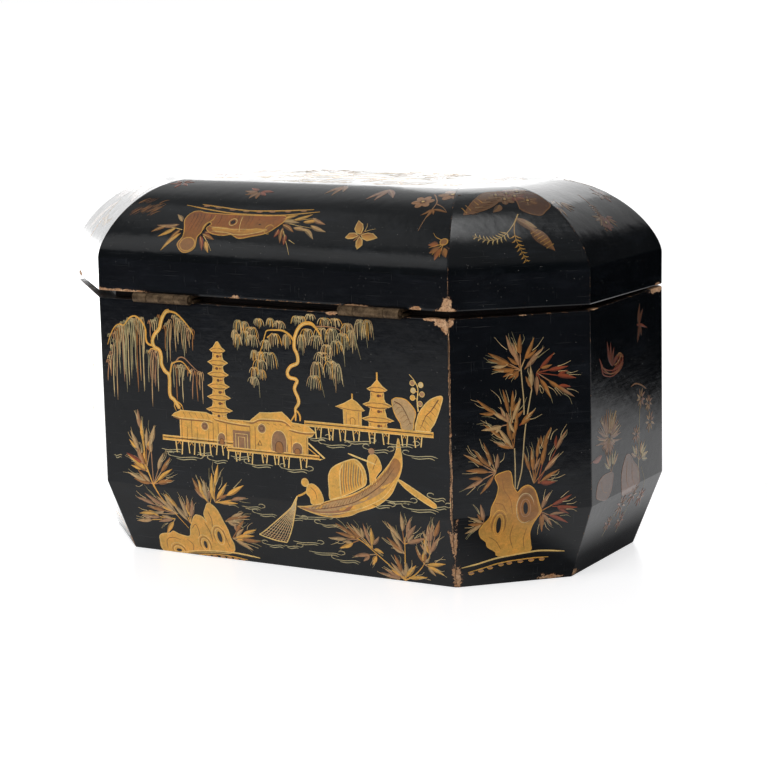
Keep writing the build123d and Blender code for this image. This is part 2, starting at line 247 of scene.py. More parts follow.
class Graph:
    """Short forms for building the nodes of a material or of the world."""

    def __init__(self, owner):
        owner.use_nodes = True
        self.owner = owner
        self.tree = owner.node_tree
        self.skin = self.tree.nodes.get("Principled BSDF")

    @classmethod
    def material(cls, name):
        return cls(bpy.data.materials.new(name))

    def add(self, kind, values=(), **settings):
        node = self.tree.nodes.new("ShaderNode" + kind)
        for key, value in settings.items():
            setattr(node, key, value)
        for key, value in dict(values).items():
            self.feed(node.inputs[key], value)
        return node

    def feed(self, socket, value):
        if isinstance(value, bpy.types.NodeSocket):
            self.tree.links.new(value, socket)
        elif socket.type == "RGBA" and len(value) == 3:
            socket.default_value = (*value, 1.0)
        else:
            socket.default_value = value

    def attribute(self, name, output="Fac"):
        return self.add("Attribute", attribute_name=name).outputs[output]

    def place(self, scale=(1.0, 1.0, 1.0), kind="Object"):
        coordinates = self.add("TexCoord").outputs[kind]
        return self.add("Mapping", {"Vector": coordinates, "Scale": scale}).outputs["Vector"]

    def noise(self, vector, scale, detail=3.0, rough=0.6, twist=0.0):
        values = {"Vector": vector, "Scale": scale, "Detail": detail, "Roughness": rough}
        values["Distortion"] = twist
        return self.add("TexNoise", values).outputs["Fac"]

    def total(self, first, second):
        return self.math("ADD", first, second)

    def times(self, first, second):
        return self.math("MULTIPLY", first, second)

    def cells(self, vector, scale):
        return self.add("TexVoronoi", {"Vector": vector, "Scale": scale}).outputs["Distance"]

    def math(self, operation, first, second=0.0, clamp=False):
        return self.add("Math", {0: first, 1: second}, operation=operation, use_clamp=clamp).outputs[0]

    def ramp(self, value, low, high, start=0.0, end=1.0):
        values = {"Value": value, "From Min": low, "From Max": high, "To Min": start, "To Max": end}
        return self.add("MapRange", values).outputs["Result"]

    def mix(self, share, first, second, blend="MIX"):
        return self.add("MixRGB", {0: share, 1: first, 2: second}, blend_type=blend).outputs[0]

    def bump(self, height, strength, distance, normal=None):
        values = {"Height": height, "Strength": strength, "Distance": distance}
        if normal is not None:
            values["Normal"] = normal
        return self.add("Bump", values).outputs["Normal"]

    def finish(self, **values):
        names = {"colour": "Base Color", "rough": "Roughness", "metal": "Metallic", "normal": "Normal",
                 "specular": "Specular IOR Level", "coat": "Coat Weight", "coat_rough": "Coat Roughness"}
        for key, value in values.items():
            self.feed(self.skin.inputs[names[key]], value)
        return self.owner


def lacquer_material(name, ground, tinge, rough_low, rough_high, dust_share):
    """Black lacquer with brush streaks, fine scratches and dust, and bare ground where it is chipped.

    The vertex value "bare" runs from 0, whole lacquer, to 1, bare ground. A value of 2 is an open joint, painted
    near-black and matte as shade inside the crack.
    """
    haze, scratch, dust_colour = colour(58, 64, 72), colour(120, 118, 116), colour(150, 146, 140)
    ground_dark, ground_pale = colour(164, 118, 80), colour(214, 176, 138)
    ground_grain, crust_colour, crack_shade_colour = colour(84, 50, 34), colour(56, 36, 27), colour(9, 7, 6)
    bare_rough = 0.85
    g = Graph.material(name)
    flat = g.place(kind="UV")
    solid = g.place()
    broad = g.noise(solid, 18.0, 2.0)
    patchy = g.noise(solid, 60.0, 4.0, 0.65)
    streaks = g.noise(g.place((60.0, 900.0, 1.0), "UV"), 1.0, 3.0, 0.7)
    smears = g.noise(g.place((28.0, 110.0, 1.0), "UV"), 1.0, 5.0, 0.7, 0.6)
    scratch_a = g.noise(g.place((40.0, 2600.0, 1.0), "UV"), 1.0, 1.0)
    scratch_b = g.noise(g.place((1900.0, 90.0, 1.0), "UV"), 1.0, 1.0)
    scratches = g.math("MAXIMUM", g.ramp(scratch_a, 0.70, 0.74), g.ramp(scratch_b, 0.72, 0.76))
    specks = g.ramp(g.cells(flat, 520.0), 0.13, 0.06)
    speck_place = g.ramp(g.noise(solid, 130.0, 2.0), 0.52, 0.68)
    dust = g.times(specks, speck_place)
    dust = g.times(dust, dust_share)
    base = g.mix(g.ramp(patchy, 0.35, 0.7), ground, tinge)
    bloom = g.times(g.ramp(smears, 0.52, 0.78), g.ramp(streaks, 0.35, 0.7, 0.4, 1.0))
    base = g.mix(g.times(bloom, 0.22), base, haze)
    base = g.mix(g.times(scratches, 0.10), base, scratch)
    base = g.mix(dust, base, dust_colour)
    grain = g.noise(flat, 900.0, 5.0, 0.75)
    rag = g.noise(flat, 260.0, 4.0, 0.7)
    ragged = g.total(g.times(g.ramp(grain, 0.3, 0.7), 0.35), g.ramp(rag, 0.3, 0.7, 0.0, 0.65))
    loss = g.attribute("bare")
    bareness = g.math("SUBTRACT", loss, ragged)
    bare = g.ramp(bareness, 0.0, 0.05)
    crust = g.ramp(bareness, -0.16, 0.0)
    wood = g.mix(g.ramp(rag, 0.35, 0.65), ground_dark, ground_pale)
    wood = g.mix(g.ramp(grain, 0.50, 0.64), wood, ground_grain)
    base = g.mix(g.times(crust, 0.7), base, crust_colour)
    base = g.mix(bare, base, wood)
    # Open joint: painted near-black, standing for the shade inside the crack; the bare roughness makes it matte.
    base = g.mix(g.ramp(loss, 1.5, 1.75), base, crack_shade_colour)
    rough = g.ramp(streaks, 0.3, 0.75, rough_low, rough_high)
    rough = g.total(rough, g.times(g.ramp(broad, 0.45, 0.7), 0.06))
    rough = g.total(rough, g.times(dust, 0.3))
    rough = g.math("MAXIMUM", rough, g.times(bare, bare_rough), True)
    ripple = g.bump(broad, 0.25, 0.0012)
    dented = g.bump(g.noise(solid, 46.0, 3.0, 0.6), 0.2, 0.0012, ripple)
    peel = g.bump(g.noise(solid, 240.0, 3.0, 0.6), 0.16, 0.0002, dented)
    fine = g.bump(g.total(streaks, g.times(patchy, 0.6)), 0.045, 0.0002, peel)
    chipped = g.bump(g.times(bare, -1.0), 0.8, 0.0006, fine)
    return g.finish(colour=base, rough=rough, normal=chipped, specular=0.5)


def gilt_material():
    """Gold powder on lacquer lines, with a tint per stroke, fine grain and rubbed places."""
    warm_cast, rubbed_colour = (1.0, 0.80, 0.62), colour(40, 28, 20)
    g = Graph.material("gilt_powder")
    solid = g.place()
    grain = g.noise(solid, 1500.0, 4.0, 0.75)
    fleck = g.noise(solid, 560.0, 4.0, 0.72, 0.8)
    cloud = g.noise(solid, 120.0, 3.0, 0.6)
    tint = g.attribute("tint", "Color")
    shade = g.total(g.ramp(grain, 0.3, 0.7, 0.44, 0.62), g.ramp(fleck, 0.32, 0.68, 0.24, 0.58))
    shade = g.times(shade, g.ramp(cloud, 0.3, 0.7, 0.84, 1.14))
    grey = g.add("CombineXYZ", {0: shade, 1: shade, 2: shade}).outputs[0]
    tone = g.mix(1.0, tint, grey, "MULTIPLY")
    tone = g.mix(g.ramp(cloud, 0.42, 0.66, 0.0, 0.5), tone, warm_cast, "MULTIPLY")
    rubbed = g.ramp(g.total(g.times(grain, 0.45), g.times(fleck, 0.55)), 0.60, 0.68)
    tone = g.mix(g.times(rubbed, 0.7), tone, rubbed_colour)
    rough = g.ramp(grain, 0.3, 0.7, 0.42, 0.62)
    normal = g.bump(grain, 0.35, 0.0002)
    return g.finish(colour=tone, rough=rough, normal=normal, metal=0.25, specular=0.35, coat=1.0,
                    coat_rough=0.14)


def brass_material(name, bright, dull, dark, wear_scale):
    g = Graph.material(name)
    solid = g.place()
    cloud = g.noise(solid, wear_scale, 4.0, 0.65)
    fine = g.noise(solid, wear_scale * 7, 3.0, 0.7)
    base = g.mix(g.ramp(cloud, 0.35, 0.62), dull, bright)
    base = g.mix(g.ramp(fine, 0.55, 0.72), base, dark)
    rough = g.ramp(cloud, 0.3, 0.7, 0.62, 0.36)
    return g.finish(colour=base, rough=rough, metal=0.75, normal=g.bump(fine, 0.4, 0.0002))


lacquer = lacquer_material("black_lacquer", colour(5, 8, 11), colour(10, 13, 16), 0.10, 0.20, 0.5)
inner_lacquer = lacquer_material("inner_lacquer", colour(22, 19, 18), colour(36, 28, 24), 0.34, 0.5, 0.25)
gilt = gilt_material()
hinge_brass = brass_material("old_hinge_brass", colour(138, 115, 88), colour(84, 68, 52),
        colour(24, 19, 16), 300.0)
lock_brass = brass_material("lock_brass", colour(186, 152, 96), colour(122, 94, 58),
        colour(44, 33, 22), 180.0)


# Boards

# Places where the lacquer is lost: side, part, u, h, reach along u, reach along h, strength
losses = [
    (BACK, "lid", 99.8, 2.4, 1.8, 3.6, 1.3),
    (BACK, "lid", 98.2, 0.4, 3.2, 1.1, 1.1),
    (BACK, "lid", 101.2, 12.0, 0.5, 8.0, 0.62),
    (BACK, "lid", 84.0, 0.5, 2.8, 0.8, 1.25),
    (BACK, "lid", -92.0, 0.4, 22.0, 0.8, 0.95),
    (BACK, "lid", -18.0, 0.5, 1.6, 1.1, 1.3),
    (BACK, "lid", 50.0, 0.2, 7.0, 0.6, 1.1),
    (BACK, "lid", 10.0, 0.0, 60.0, 0.4, 0.6),
    (BACK_LEFT, "lid", -34.8, 2.4, 1.2, 3.2, 1.35),
    (BACK_LEFT, "lid", -33.6, 0.6, 1.9, 0.9, 1.15),
    (BACK_LEFT, "lid", -35.2, 12.0, 0.4, 8.0, 0.55),
    (BACK, "body", 92.0, 96.2, 4.4, 1.0, 1.3),
    (BACK, "body", 97.0, 94.6, 3.0, 1.8, 1.3),
    (BACK, "body", 99.8, 92.0, 1.2, 2.4, 1.3),
    (BACK, "body", 37.0, 96.2, 3.6, 1.0, 1.25),
    (BACK, "body", 50.0, 96.2, 50.0, 0.35, 0.7),
    (BACK, "body", 100.8, 66.0, 0.45, 14.0, 0.72),
    (BACK, "body", 100.8, 30.0, 0.5, 16.0, 0.78),
    (BACK, "body", 100.6, 4.0, 0.6, 14.0, 0.85),
    (BACK, "body", 97.5, -34.0, 3.4, 8.0, 0.86),
    (BACK, "body", 98.6, -18.0, 1.3, 14.0, 0.84),
    (BACK_LEFT, "body", -34.4, 95.0, 1.6, 1.6, 1.3),
    (BACK_LEFT, "body", -35.2, 66.0, 0.5, 24.0, 0.66),
    (BACK_LEFT, "body", -35.2, 20.0, 0.6, 24.0, 0.78),
    (BACK_LEFT, "body", -29.6, -35.0, 2.6, 7.0, 0.9),
    (BACK_LEFT, "body", -32.6, -16.0, 1.3, 14.0, 0.84),
    (BACK_LEFT, "body", 18.0, -39.2, 7.0, 1.0, 1.0),
    (BACK_LEFT, "body", 15.0, -37.6, 3.6, 1.2, 0.74),
    (BACK_LEFT, "body", 2.0, 96.2, 3.0, 0.5, 0.9),
    (LEFT, "body", 37.0, 95.4, 8.0, 1.5, 1.3),
    (LEFT, "body", -38.0, 96.0, 4.0, 0.5, 0.85),
    (LEFT, "body", -38.0, -38.0, 5.0, 1.6, 1.15),
    (LEFT, "lid", 38.0, 0.6, 3.0, 0.8, 0.8),
    (FRONT, "body", -40.0, 96.0, 20.0, 0.8, 1.0),
    (FRONT, "body", 8.0, 95.0, 6.0, 2.0, 1.05),
    (FRONT, "lid", -12.0, 0.4, 16.0, 1.0, 1.05),
    (FRONT_LEFT, "body", 33.0, 10.0, 1.4, 20.0, 0.9),
    (FRONT_RIGHT, "body", -32.0, -36.0, 5.0, 3.0, 1.2),
    (FRONT_RIGHT, "lid", 33.0, 3.0, 3.0, 4.0, 1.2),
    (RIGHT, "body", 20.0, -38.5, 14.0, 1.6, 1.1),
    (RIGHT, "body", -12.0, 96.0, 18.0, 0.7, 0.95),
    (BACK_RIGHT, "body", 30.0, -37.0, 5.0, 3.0, 1.1),
    (BACK_RIGHT, "lid", -30.0, 1.0, 6.0, 1.5, 1.0),
]


def bareness(side, part, u, h, edge):
    """How far the lacquer is gone at a point; 1 is bare. Every edge is worn, sharply and more broadly."""
    sharp_wear, sharp_reach = 0.27, 0.3
    broad_wear, broad_reach = 0.11, 2.0
    furthest, fade = 9, 0.7
    value = sharp_wear * math.exp(-edge / sharp_reach) + broad_wear * math.exp(-edge / broad_reach)
    for spot_side, spot_part, spot_u, spot_h, reach_u, reach_h, strength in losses:
        if spot_side == side and spot_part == part:
            away = ((u - spot_u) / reach_u) ** 2 + ((h - spot_h) / reach_h) ** 2
            if away < furthest:
                value = max(value, strength * math.exp(-away * fade))
    return value


def slice_at(build, place, normal):
    everything = build.verts[:] + build.edges[:] + build.faces[:]
    bmesh.ops.bisect_plane(build, geom=everything, plane_co=place, plane_no=normal)


def spread(low, high, spacing, fine=(0.0, 0.25, 0.4, 0.7, 1.2, 2.2, 4.0)):
    """Values from low to high, close together near both ends."""
    inner_low, inner_high = low + fine[-1], high - fine[-1]
    count = max(2, round((inner_high - inner_low) / spacing))
    values = [low + step for step in fine[:-1]]
    values += [inner_low + (inner_high - inner_low) * index / count for index in range(count + 1)]
    values += [high - step for step in reversed(fine[:-1])]
    return values


def arris_drop(distance):
    """How far the surface falls away at a distance from a rounded arris."""
    reach = arris_radius * mitre_run
    if distance >= reach:
        return 0.0
    return arris_radius - math.sqrt(arris_radius ** 2 - (reach - distance) ** 2)


# Wear of the boards: softened edges, chips below the lacquer, and the split joint
edge_reach, edge_fall = 0.8, 0.35
chip_start, chip_depth = 0.75, 0.5
crack_depth, least_crack, mean_crack = 0.55, 0.15, 0.6
crack_reach, crack_core, crack_seen = 1.0, 0.28, 0.2
open_joint = 2.0
board_spacing = 2.0
top_spacing = 3.0
far_off = 99


def crack_at(face, u_sign, z_h):
    """Irregular opening of the split joint between the back and the back left side."""
    if face.part != "body":
        return 0.0
    if (face.side, u_sign) not in ((BACK, 1), (BACK_LEFT, -1)):
        return 0.0
    rough = noise.noise(Vector((z_h * 0.11, 3.1, face.side)))
    fine = noise.noise(Vector((z_h * 0.7, 7.7, face.side * 2.0)))
    return crack_depth * max(least_crack, mean_crack + 1.1 * rough + 0.5 * fine)


def worn(face, u, h, half, rim):
    """How far the outer surface has fallen back at a point, and how bare it is."""
    distance = half - abs(u)
    drop = arris_drop(distance)
    if rim < edge_reach:
        drop += (edge_reach - rim) ** 2 * edge_fall
    amount = bareness(face.side, face.part, u, h, min(distance, rim))
    drop += max(0.0, amount - chip_start) * chip_depth
    if distance < crack_reach:
        opening = crack_at(face, 1 if u > 0 else -1, h)
        drop += opening * (crack_reach - distance) ** 2
        # The core of a wide crack is marked as the open joint, which the lacquer paints near-black as shade.
        if distance < crack_core and opening > crack_seen:
            amount = open_joint
    return drop, amount


def board(face, h_low, h_high, inner, node, open_low=False, open_high=False):
    """One side board: a dense outer surface, rounded at its arrises, and plain inner faces.

    inner lists the section's other points as inset and height, from the top round to the bottom.
    An open end is an edge of the box; any other end meets a neighbouring board.
    """
    hs = spread(h_low, h_high, board_spacing)
    section = [face.profile(h)[:2] for h in hs] + list(inner)
    outer_count, ring = len(hs), len(section)
    build = bmesh.new()
    bare_layer = build.verts.layers.float.new("bare")
    uv_layer = build.loops.layers.uv.new("UVMap")
    flat_places = {}
    rows = []
    for u in spread(-face.half, face.half, board_spacing):
        row = []
        for index, (inset, z) in enumerate(section):
            half = face.half - mitre_run * inset
            place_u = u / face.half * half
            h = hs[min(index, outer_count - 1)]
            drop, amount = 0.0, 0.0
            if index < outer_count:
                to_low = abs(h - h_low) if open_low else far_off
                to_high = abs(h_high - h) if open_high else far_off
                drop, amount = worn(face, place_u, h, half, min(to_low, to_high))
            direction = face.profile(h)[2]
            plan = face.middle + face.along * place_u + face.inward * (inset + drop * direction.y)
            point = Vector((plan.x, plan.y, z - drop * direction.x))
            if face.part == "lid":
                point = tip_lid(point)
            vertex = build.verts.new(point * MM)
            vertex[bare_layer] = amount
            flat_places[vertex] = (place_u * MM + face.side * 0.31, (h + inset * 0.5) * MM)
            row.append(vertex)
        rows.append(row)
    for left, right in zip(rows, rows[1:]):
        for index in range(ring):
            after = (index + 1) % ring
            quad = build.faces.new((left[index], right[index], right[after], left[after]))
            quad.smooth = index < outer_count - 1
            quad.material_index = 0 if quad.smooth else 1
    for corners in (rows[0], rows[-1][::-1]):
        build.faces.new(corners).material_index = 1
    for polygon in build.faces:
        for loop in polygon.loops:
            loop[uv_layer].uv = flat_places[loop.vert]
    for edge in build.edges:
        edge.smooth = all(polygon.smooth for polygon in edge.link_faces)
    bmesh.ops.recalc_face_normals(build, faces=build.faces)
    finish_board(build, node + "_lacquered", face.part, node)


def finish_board(build, name, body, node):
    mesh = bpy.data.meshes.new(name)
    build.to_mesh(mesh)
    build.free()
    piece = new_piece(name, mesh, body, [lacquer, inner_lacquer])
    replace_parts(piece, node)


body_faces = [Face(side, "body") for side in range(8)]
lid_faces = [Face(side, "lid") for side in range(8)]

rim_top = lid_base + rim_height
lid_top_z = lid_base + lid_height
lid_top_under = lid_top_z - top_board_thickness

for face, name in zip(body_faces, sides):
    wall_inside = [(wall_thickness, wall_top), (wall_thickness, fold_z)]
    skirt_inside = [(wall_thickness, fold_z), (foot_inset + wall_thickness, 0.0)]
    board(face, 0.0, wall_top - fold_z, wall_inside, name + "_wall", open_high=True)
    board(face, -foot_slope, 0.0, skirt_inside, name + "_skirt", open_low=True)
for face, name in zip(lid_faces, sides):
    rim_inside = [(lid_wall, rim_top), (lid_wall, lid_base)]
    shoulder_inside = [(shoulder_inset, lid_top_under), (lid_wall, rim_top)]
    board(face, 0.0, rim_height, rim_inside, "lid_" + name + "_rim", open_low=True)
    board(face, rim_height, lid_edge_h, shoulder_inside, "lid_" + name + "_shoulder")


def lid_top():
    """The flat top board, a fine grid so that its lacquer can wear unevenly."""
    mean_bare, bare_swing, cloud_scale = 0.14, 0.16, 0.012
    corners = [plan_corner(index, shoulder_inset) for index in range(8)]
    build = bmesh.new()
    uv_layer = build.loops.layers.uv.new("UVMap")
    bare_layer = build.verts.layers.float.new("bare")
    upper = build.faces.new([build.verts.new((p.x, p.y, lid_top_z)) for p in corners])
    lower = build.faces.new([build.verts.new((p.x, p.y, lid_top_under)) for p in reversed(corners)])
    top_verts, low_verts = list(upper.verts), list(reversed(lower.verts))
    for index in range(8):
        after = (index + 1) % 8
        build.faces.new((top_verts[after], top_verts[index], low_verts[index], low_verts[after]))
    reaches = (-plan_corner(LEFT, shoulder_inset).x, plan_corner(BACK, shoulder_inset).y)
    for normal, half in zip((Vector((1, 0, 0)), Vector((0, 1, 0))), reaches):
        last = int(half / top_spacing)
        for step in range(-last, last + 1):
            slice_at(build, normal * step * top_spacing, normal)
    for vertex in build.verts:
        wave = noise.noise(Vector((vertex.co.x * cloud_scale, vertex.co.y * cloud_scale, 5.0)))
        vertex[bare_layer] = mean_bare + bare_swing * wave
    for polygon in build.faces:
        polygon.smooth = False
        for loop in polygon.loops:
            loop[uv_layer].uv = (loop.vert.co.x * MM, loop.vert.co.y * MM)
    bmesh.ops.recalc_face_normals(build, faces=build.faces)
    for polygon in build.faces:
        polygon.material_index = 0 if polygon.normal.z > 0.5 else 1
    for vertex in build.verts:
        vertex.co = tip_lid(vertex.co) * MM
    finish_board(build, "lid_top_lacquered", "lid", "lid_top_board")


lid_top()

for node_name, node in frame["nodes"].items():
    if node_name.endswith(("lip_strip", "lip_strips")) or node_name == "bottom_board":
        node.data.materials.clear()
        node.data.materials.append(inner_lacquer)


# Hardware: the CAD pieces with softened edges and old brass

def soften(node_name, width, material):
    """A copy of a metal piece with its edges rounded to a width, in place of the CAD piece."""
    same_place = 0.000002
    flat_within = math.radians(0.6)
    least_fold = 0.7
    shading_fold = math.radians(28)
    build = bmesh.new()
    build.from_mesh(frame["nodes"][node_name].data)
    bmesh.ops.remove_doubles(build, verts=build.verts, dist=same_place)
    bmesh.ops.dissolve_limit(build, angle_limit=flat_within, verts=build.verts, edges=build.edges)
    folds = [edge for edge in build.edges if len(edge.link_faces) == 2
             and edge.calc_face_angle() > least_fold]
    bmesh.ops.bevel(build, geom=folds, offset=width * MM, segments=2, profile=0.6, affect="EDGES",
                    clamp_overlap=True)
    for polygon in build.faces:
        polygon.smooth = True
    name = node_name + "_worn"
    mesh = bpy.data.meshes.new(name)
    build.to_mesh(mesh)
    build.free()
    mesh.set_sharp_from_angle(angle=shading_fold)
    bodies = frame["record"]["behaviour"]["bodies"]
    body = [key for key, members in bodies.items() if node_name in members][0]
    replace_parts(new_piece(name, mesh, body, [material]), node_name)


hinge_parts = [side_name + part_name for side_name in ("left", "right")
               for part_name in ("_hinge_body_leaf", "_hinge_lid_leaf", "_hinge_pin")]
for node_name in hinge_parts:
    soften(node_name, 0.08 if node_name.endswith("pin") else 0.18, hinge_brass)
for node_name in ("body_hinge_screws", "lid_hinge_screws"):
    soften(node_name, 0.06, hinge_brass)
for node_name in (
        "lock_case", "lock_cap", "lock_bolt", "lock_screws", "keyhole_plate", "keyhole_plate_pins",
        "staple_plate", "staple_plate_screws"):
    soften(node_name, 0.1, lock_brass)


# Gilding: strokes and patches of gold powder, raised a little above the lacquer

GOLD = colour(238, 180, 80)
BRIGHT = colour(252, 214, 132)
AMBER = colour(172, 116, 56)
OCHRE = colour(160, 108, 54)
PALE = colour(222, 196, 142)
SAGE = colour(170, 158, 114)
SAND = colour(200, 164, 112)
TAN = colour(182, 136, 94)
PINK = colour(180, 132, 104)
UMBER = colour(168, 98, 40)
RUST = colour(164, 78, 44)
BROWN = colour(112, 70, 38)
DARK = colour(20, 17, 16)
WATER = colour(190, 178, 134)

hand = random.Random(11)


def either(reach):
    """A random length, as far as reach to either side of nothing."""
    return hand.uniform(-reach, reach)


sunk = 0.04
layer_lift = 0.05
step_share, step_stride, step_count = 0.9, 7, 31
body_step, lid_step, patch_step = 1.1, 1.6, 1.6
stroke_bevel = 0.12
lid_band, lid_bands = 2.5, 29
FULL_TURN = 2 * math.pi


def smooth_path(points, closed=False, step=body_step):
    """Catmull-Rom points through given ones, about a step apart."""
    count = len(points)
    result = []
    for index in range(count if closed else count - 1):
        b = Vector(points[index])
        c = Vector(points[(index + 1) % count])
        a = Vector(points[index - 1]) if closed or index > 0 else b * 2 - c
        d = Vector(points[(index + 2) % count]) if closed or index < count - 2 else c * 2 - b
        parts = max(1, math.ceil((c - b).length / step))
        for part in range(parts):
            t = part / parts
            result.append(0.5 * (2 * b + (c - a) * t + (2 * a - 5 * b + 4 * c - d) * t * t
                                 + (3 * b - a - 3 * c + d) * t ** 3))
    if not closed:
        result.append(Vector(points[-1]))
    return result


def swell(shape, t):
    """Width of a stroke along its length, as a share of its full width."""
    if shape == "bar":
        return 1.0
    if shape == "leaf":
        return max(0.08, math.sin(math.pi * t ** 0.75) ** 0.85)
    if shape == "strand":
        return max(0.25, 1.0 - 0.7 * t)
    if shape == "twig":
        return 0.8 + 0.4 * t if t < 0.85 else max(0.3, (1.0 - t) * 7.6)
    return min(1.0, 0.4 + 5 * t, 0.4 + 5 * (1 - t))


def turned(vector, angle):
    c, s = math.cos(angle), math.sin(angle)
    return Vector((vector[0] * c - vector[1] * s, vector[0] * s + vector[1] * c))


def polar(middle, reach, angle):
    return middle[0] + reach * math.cos(angle), middle[1] + reach * math.sin(angle)


class Ink:
    """Strokes on one face, gathered into one mesh. Motifs are drawn in millimetres on the face."""

    def __init__(self, face, name, relief):
        self.face = face
        self.name = name
        self.relief = relief
        self.verts, self.faces, self.tints = [], [], []
        self.shift = Vector((0.0, 0.0))
        self.scale, self.turn, self.mirror, self.strength = 1.0, 0.0, 1.0, 1.0

    def placed(self, u=0.0, h=0.0, scale=1.0, turn=0.0, mirror=False, strength=1.0):
        """The same ink for a motif that is moved, scaled, turned in degrees, mirrored or paler."""
        moved = copy.copy(self)
        moved.shift = Vector((u, h))
        moved.scale = scale
        moved.turn = math.radians(turn)
        moved.mirror = -1.0 if mirror else 1.0
        moved.strength = self.strength * strength
        return moved

    def spot(self, point):
        return self.shift + turned((point[0] * self.mirror, point[1]), self.turn) * self.scale

    def height(self, layer):
        """How far a stroke stands out: its layer, and a step of its own within it."""
        step = len(self.faces) * step_stride % step_count
        return self.relief * layer_lift * (layer + step_share * step / step_count)

    def vert(self, place, lift, tint):
        reach = self.face.half_width(place.y) - side_margin
        low, high = self.face.span
        place = Vector((max(-reach, min(reach, place.x)), max(low, min(high, place.y))))
        self.verts.append(self.face.at(place.x, place.y, lift))
        self.tints.append((*(part * self.strength for part in tint), 1.0))
        return len(self.verts) - 1

    def inside(self, place):
        low, high = self.face.span
        return abs(place.x) < self.face.half_width(place.y) - side_margin and low < place.y < high

    def folded(self, path):
        """The path with a place added where it crosses the fold above the foot."""
        result = path[:1]
        for last, place in zip(path, path[1:]):
            if last.y * place.y < 0:
                result.append(last.lerp(place, last.y / (last.y - place.y)))
            result.append(place)
        return result

    def line(self, points, width, tint, shape="brush", layer=1, smooth=True):
        """One stroke: a low ridge with bevelled sides, whose feet sink into the lacquer."""
        on_body = self.face.part == "body"
        path = [self.spot(point) for point in points]
        if smooth:
            path = smooth_path(path, step=body_step if on_body else lid_step)
        path = [place for place in path if self.inside(place)]
        if len(path) < 2:
            return
        if on_body:
            path = self.folded(path)
        total = sum((b - a).length for a, b in zip(path, path[1:])) or 1.0
        lift = self.height(layer)
        run = 0.0
        sections = []
        for index, place in enumerate(path):
            before, after = path[max(0, index - 1)], path[min(len(path) - 1, index + 1)]
            if index:
                run += (place - before).length
            travel = (after - before).normalized()
            left = Vector((-travel.y, travel.x))
            half = width * self.scale * swell(shape, run / total) / 2
            crest = max(0.8 * half, half - stroke_bevel)
            rows = [(half, -sunk), (crest, lift), (-crest, lift), (-half, -sunk)]
            sections.append([self.vert(place + left * away, up, tint) for away, up in rows])
        for first, second in zip(sections, sections[1:]):
            for index in range(4):
                after = (index + 1) % 4
                self.faces.append((first[index], first[after], second[after], second[index]))
        self.faces.append(tuple(reversed(sections[0])))
        self.faces.append(tuple(sections[-1]))

    def lines(self, paths, width, tint, shape="brush", layer=1, smooth=True):
        for path in paths:
            self.line(path, width, tint, shape, layer, smooth)

    def patch(self, outline, tint, layer=1, smooth=True, rim=None, rim_width=0.4, foot=None):
        """A filled shape, with an optional contour line on top and an optional other tint at its foot."""
        ring = [self.spot(point) for point in outline]
        if smooth:
            ring = smooth_path(ring, closed=True, step=patch_step)
        area = sum(a.x * b.y - b.x * a.y for a, b in zip(ring, ring[1:] + ring[:1]))
        if area < 0:
            ring.reverse()
        build = bmesh.new()
        polygon = build.faces.new([build.verts.new((place.x, place.y, 0.0)) for place in ring])
        polygon.normal_update()
        bmesh.ops.triangulate(build, faces=[polygon])
        build.normal_update()
        low, high = min(place.y for place in ring), max(place.y for place in ring)
        levels = [rim_height + lid_band * index for index in range(lid_bands)]
        for level in [0.0] if self.face.part == "body" else levels:
            if low < level < high:
                slice_at(build, (0, level, 0), (0, 1, 0))
        lift = self.height(layer)
        upper, lower = {}, {}
        for vertex in build.verts:
            place = Vector(vertex.co[:2])
            shade = tint
            if foot is not None:
                share = (place.y - low) / (high - low)
                shade = tuple(b + (t - b) * share for t, b in zip(tint, foot))
            upper[vertex] = self.vert(place, lift, shade)
            lower[vertex] = self.vert(place, -sunk, shade)
        for polygon in build.faces:
            corners = [loop.vert for loop in polygon.loops]
            if polygon.normal.z < 0:
                corners.reverse()
            self.faces.append(tuple(upper[corner] for corner in corners))
            self.faces.append(tuple(lower[corner] for corner in reversed(corners)))
        for edge in build.edges:
            if len(edge.link_loops) == 1:
                a = edge.link_loops[0].vert
                b = edge.other_vert(a)
                if edge.link_faces[0].normal.z < 0:
                    a, b = b, a
                self.faces.append((upper[b], upper[a], lower[a], lower[b]))
        build.free()
        if rim is not None:
            self.loop(outline, rim_width, rim, layer + 1, smooth)

    def loop(self, outline, width, tint, layer=2, smooth=True):
        ring = list(outline) + [outline[0]]
        self.line(ring, width, tint, "bar", layer, smooth)

    def oval(self, middle, reach_u, reach_h, steps, start=0.0, end=FULL_TURN, lean=0.0):
        points = []
        c, s = math.cos(lean), math.sin(lean)
        for index in range(steps):
            a = start + (end - start) * index / steps
            u, h = reach_u * math.cos(a), reach_h * math.sin(a)
            points.append((middle[0] + u * c - h * s, middle[1] + u * s + h * c))
        return points

    def blob(self, middle, reach_u, reach_h, tint, layer=1, lean=0.0):
        self.patch(self.oval(middle, reach_u, reach_h, 12, lean=lean), tint, layer)

    def ring(self, middle, reach_u, reach_h, width, tint, layer=2, start=0.0, end=FULL_TURN):
        points = self.oval(middle, reach_u, reach_h, 16, start, end)
        if end - start == FULL_TURN:
            self.loop(points, width, tint, layer)
        else:
            self.line(points, width, tint, "brush", layer)

    def finish(self):
        mesh = bpy.data.meshes.new(self.name)
        mesh.from_pydata(self.verts, [], self.faces)
        tints = mesh.color_attributes.new("tint", "FLOAT_COLOR", "POINT")
        tints.data.foreach_set("color", [part for tint in self.tints for part in tint])
        new_piece(self.name, mesh, self.face.part, [gilt])


# Brushwork that the motifs share

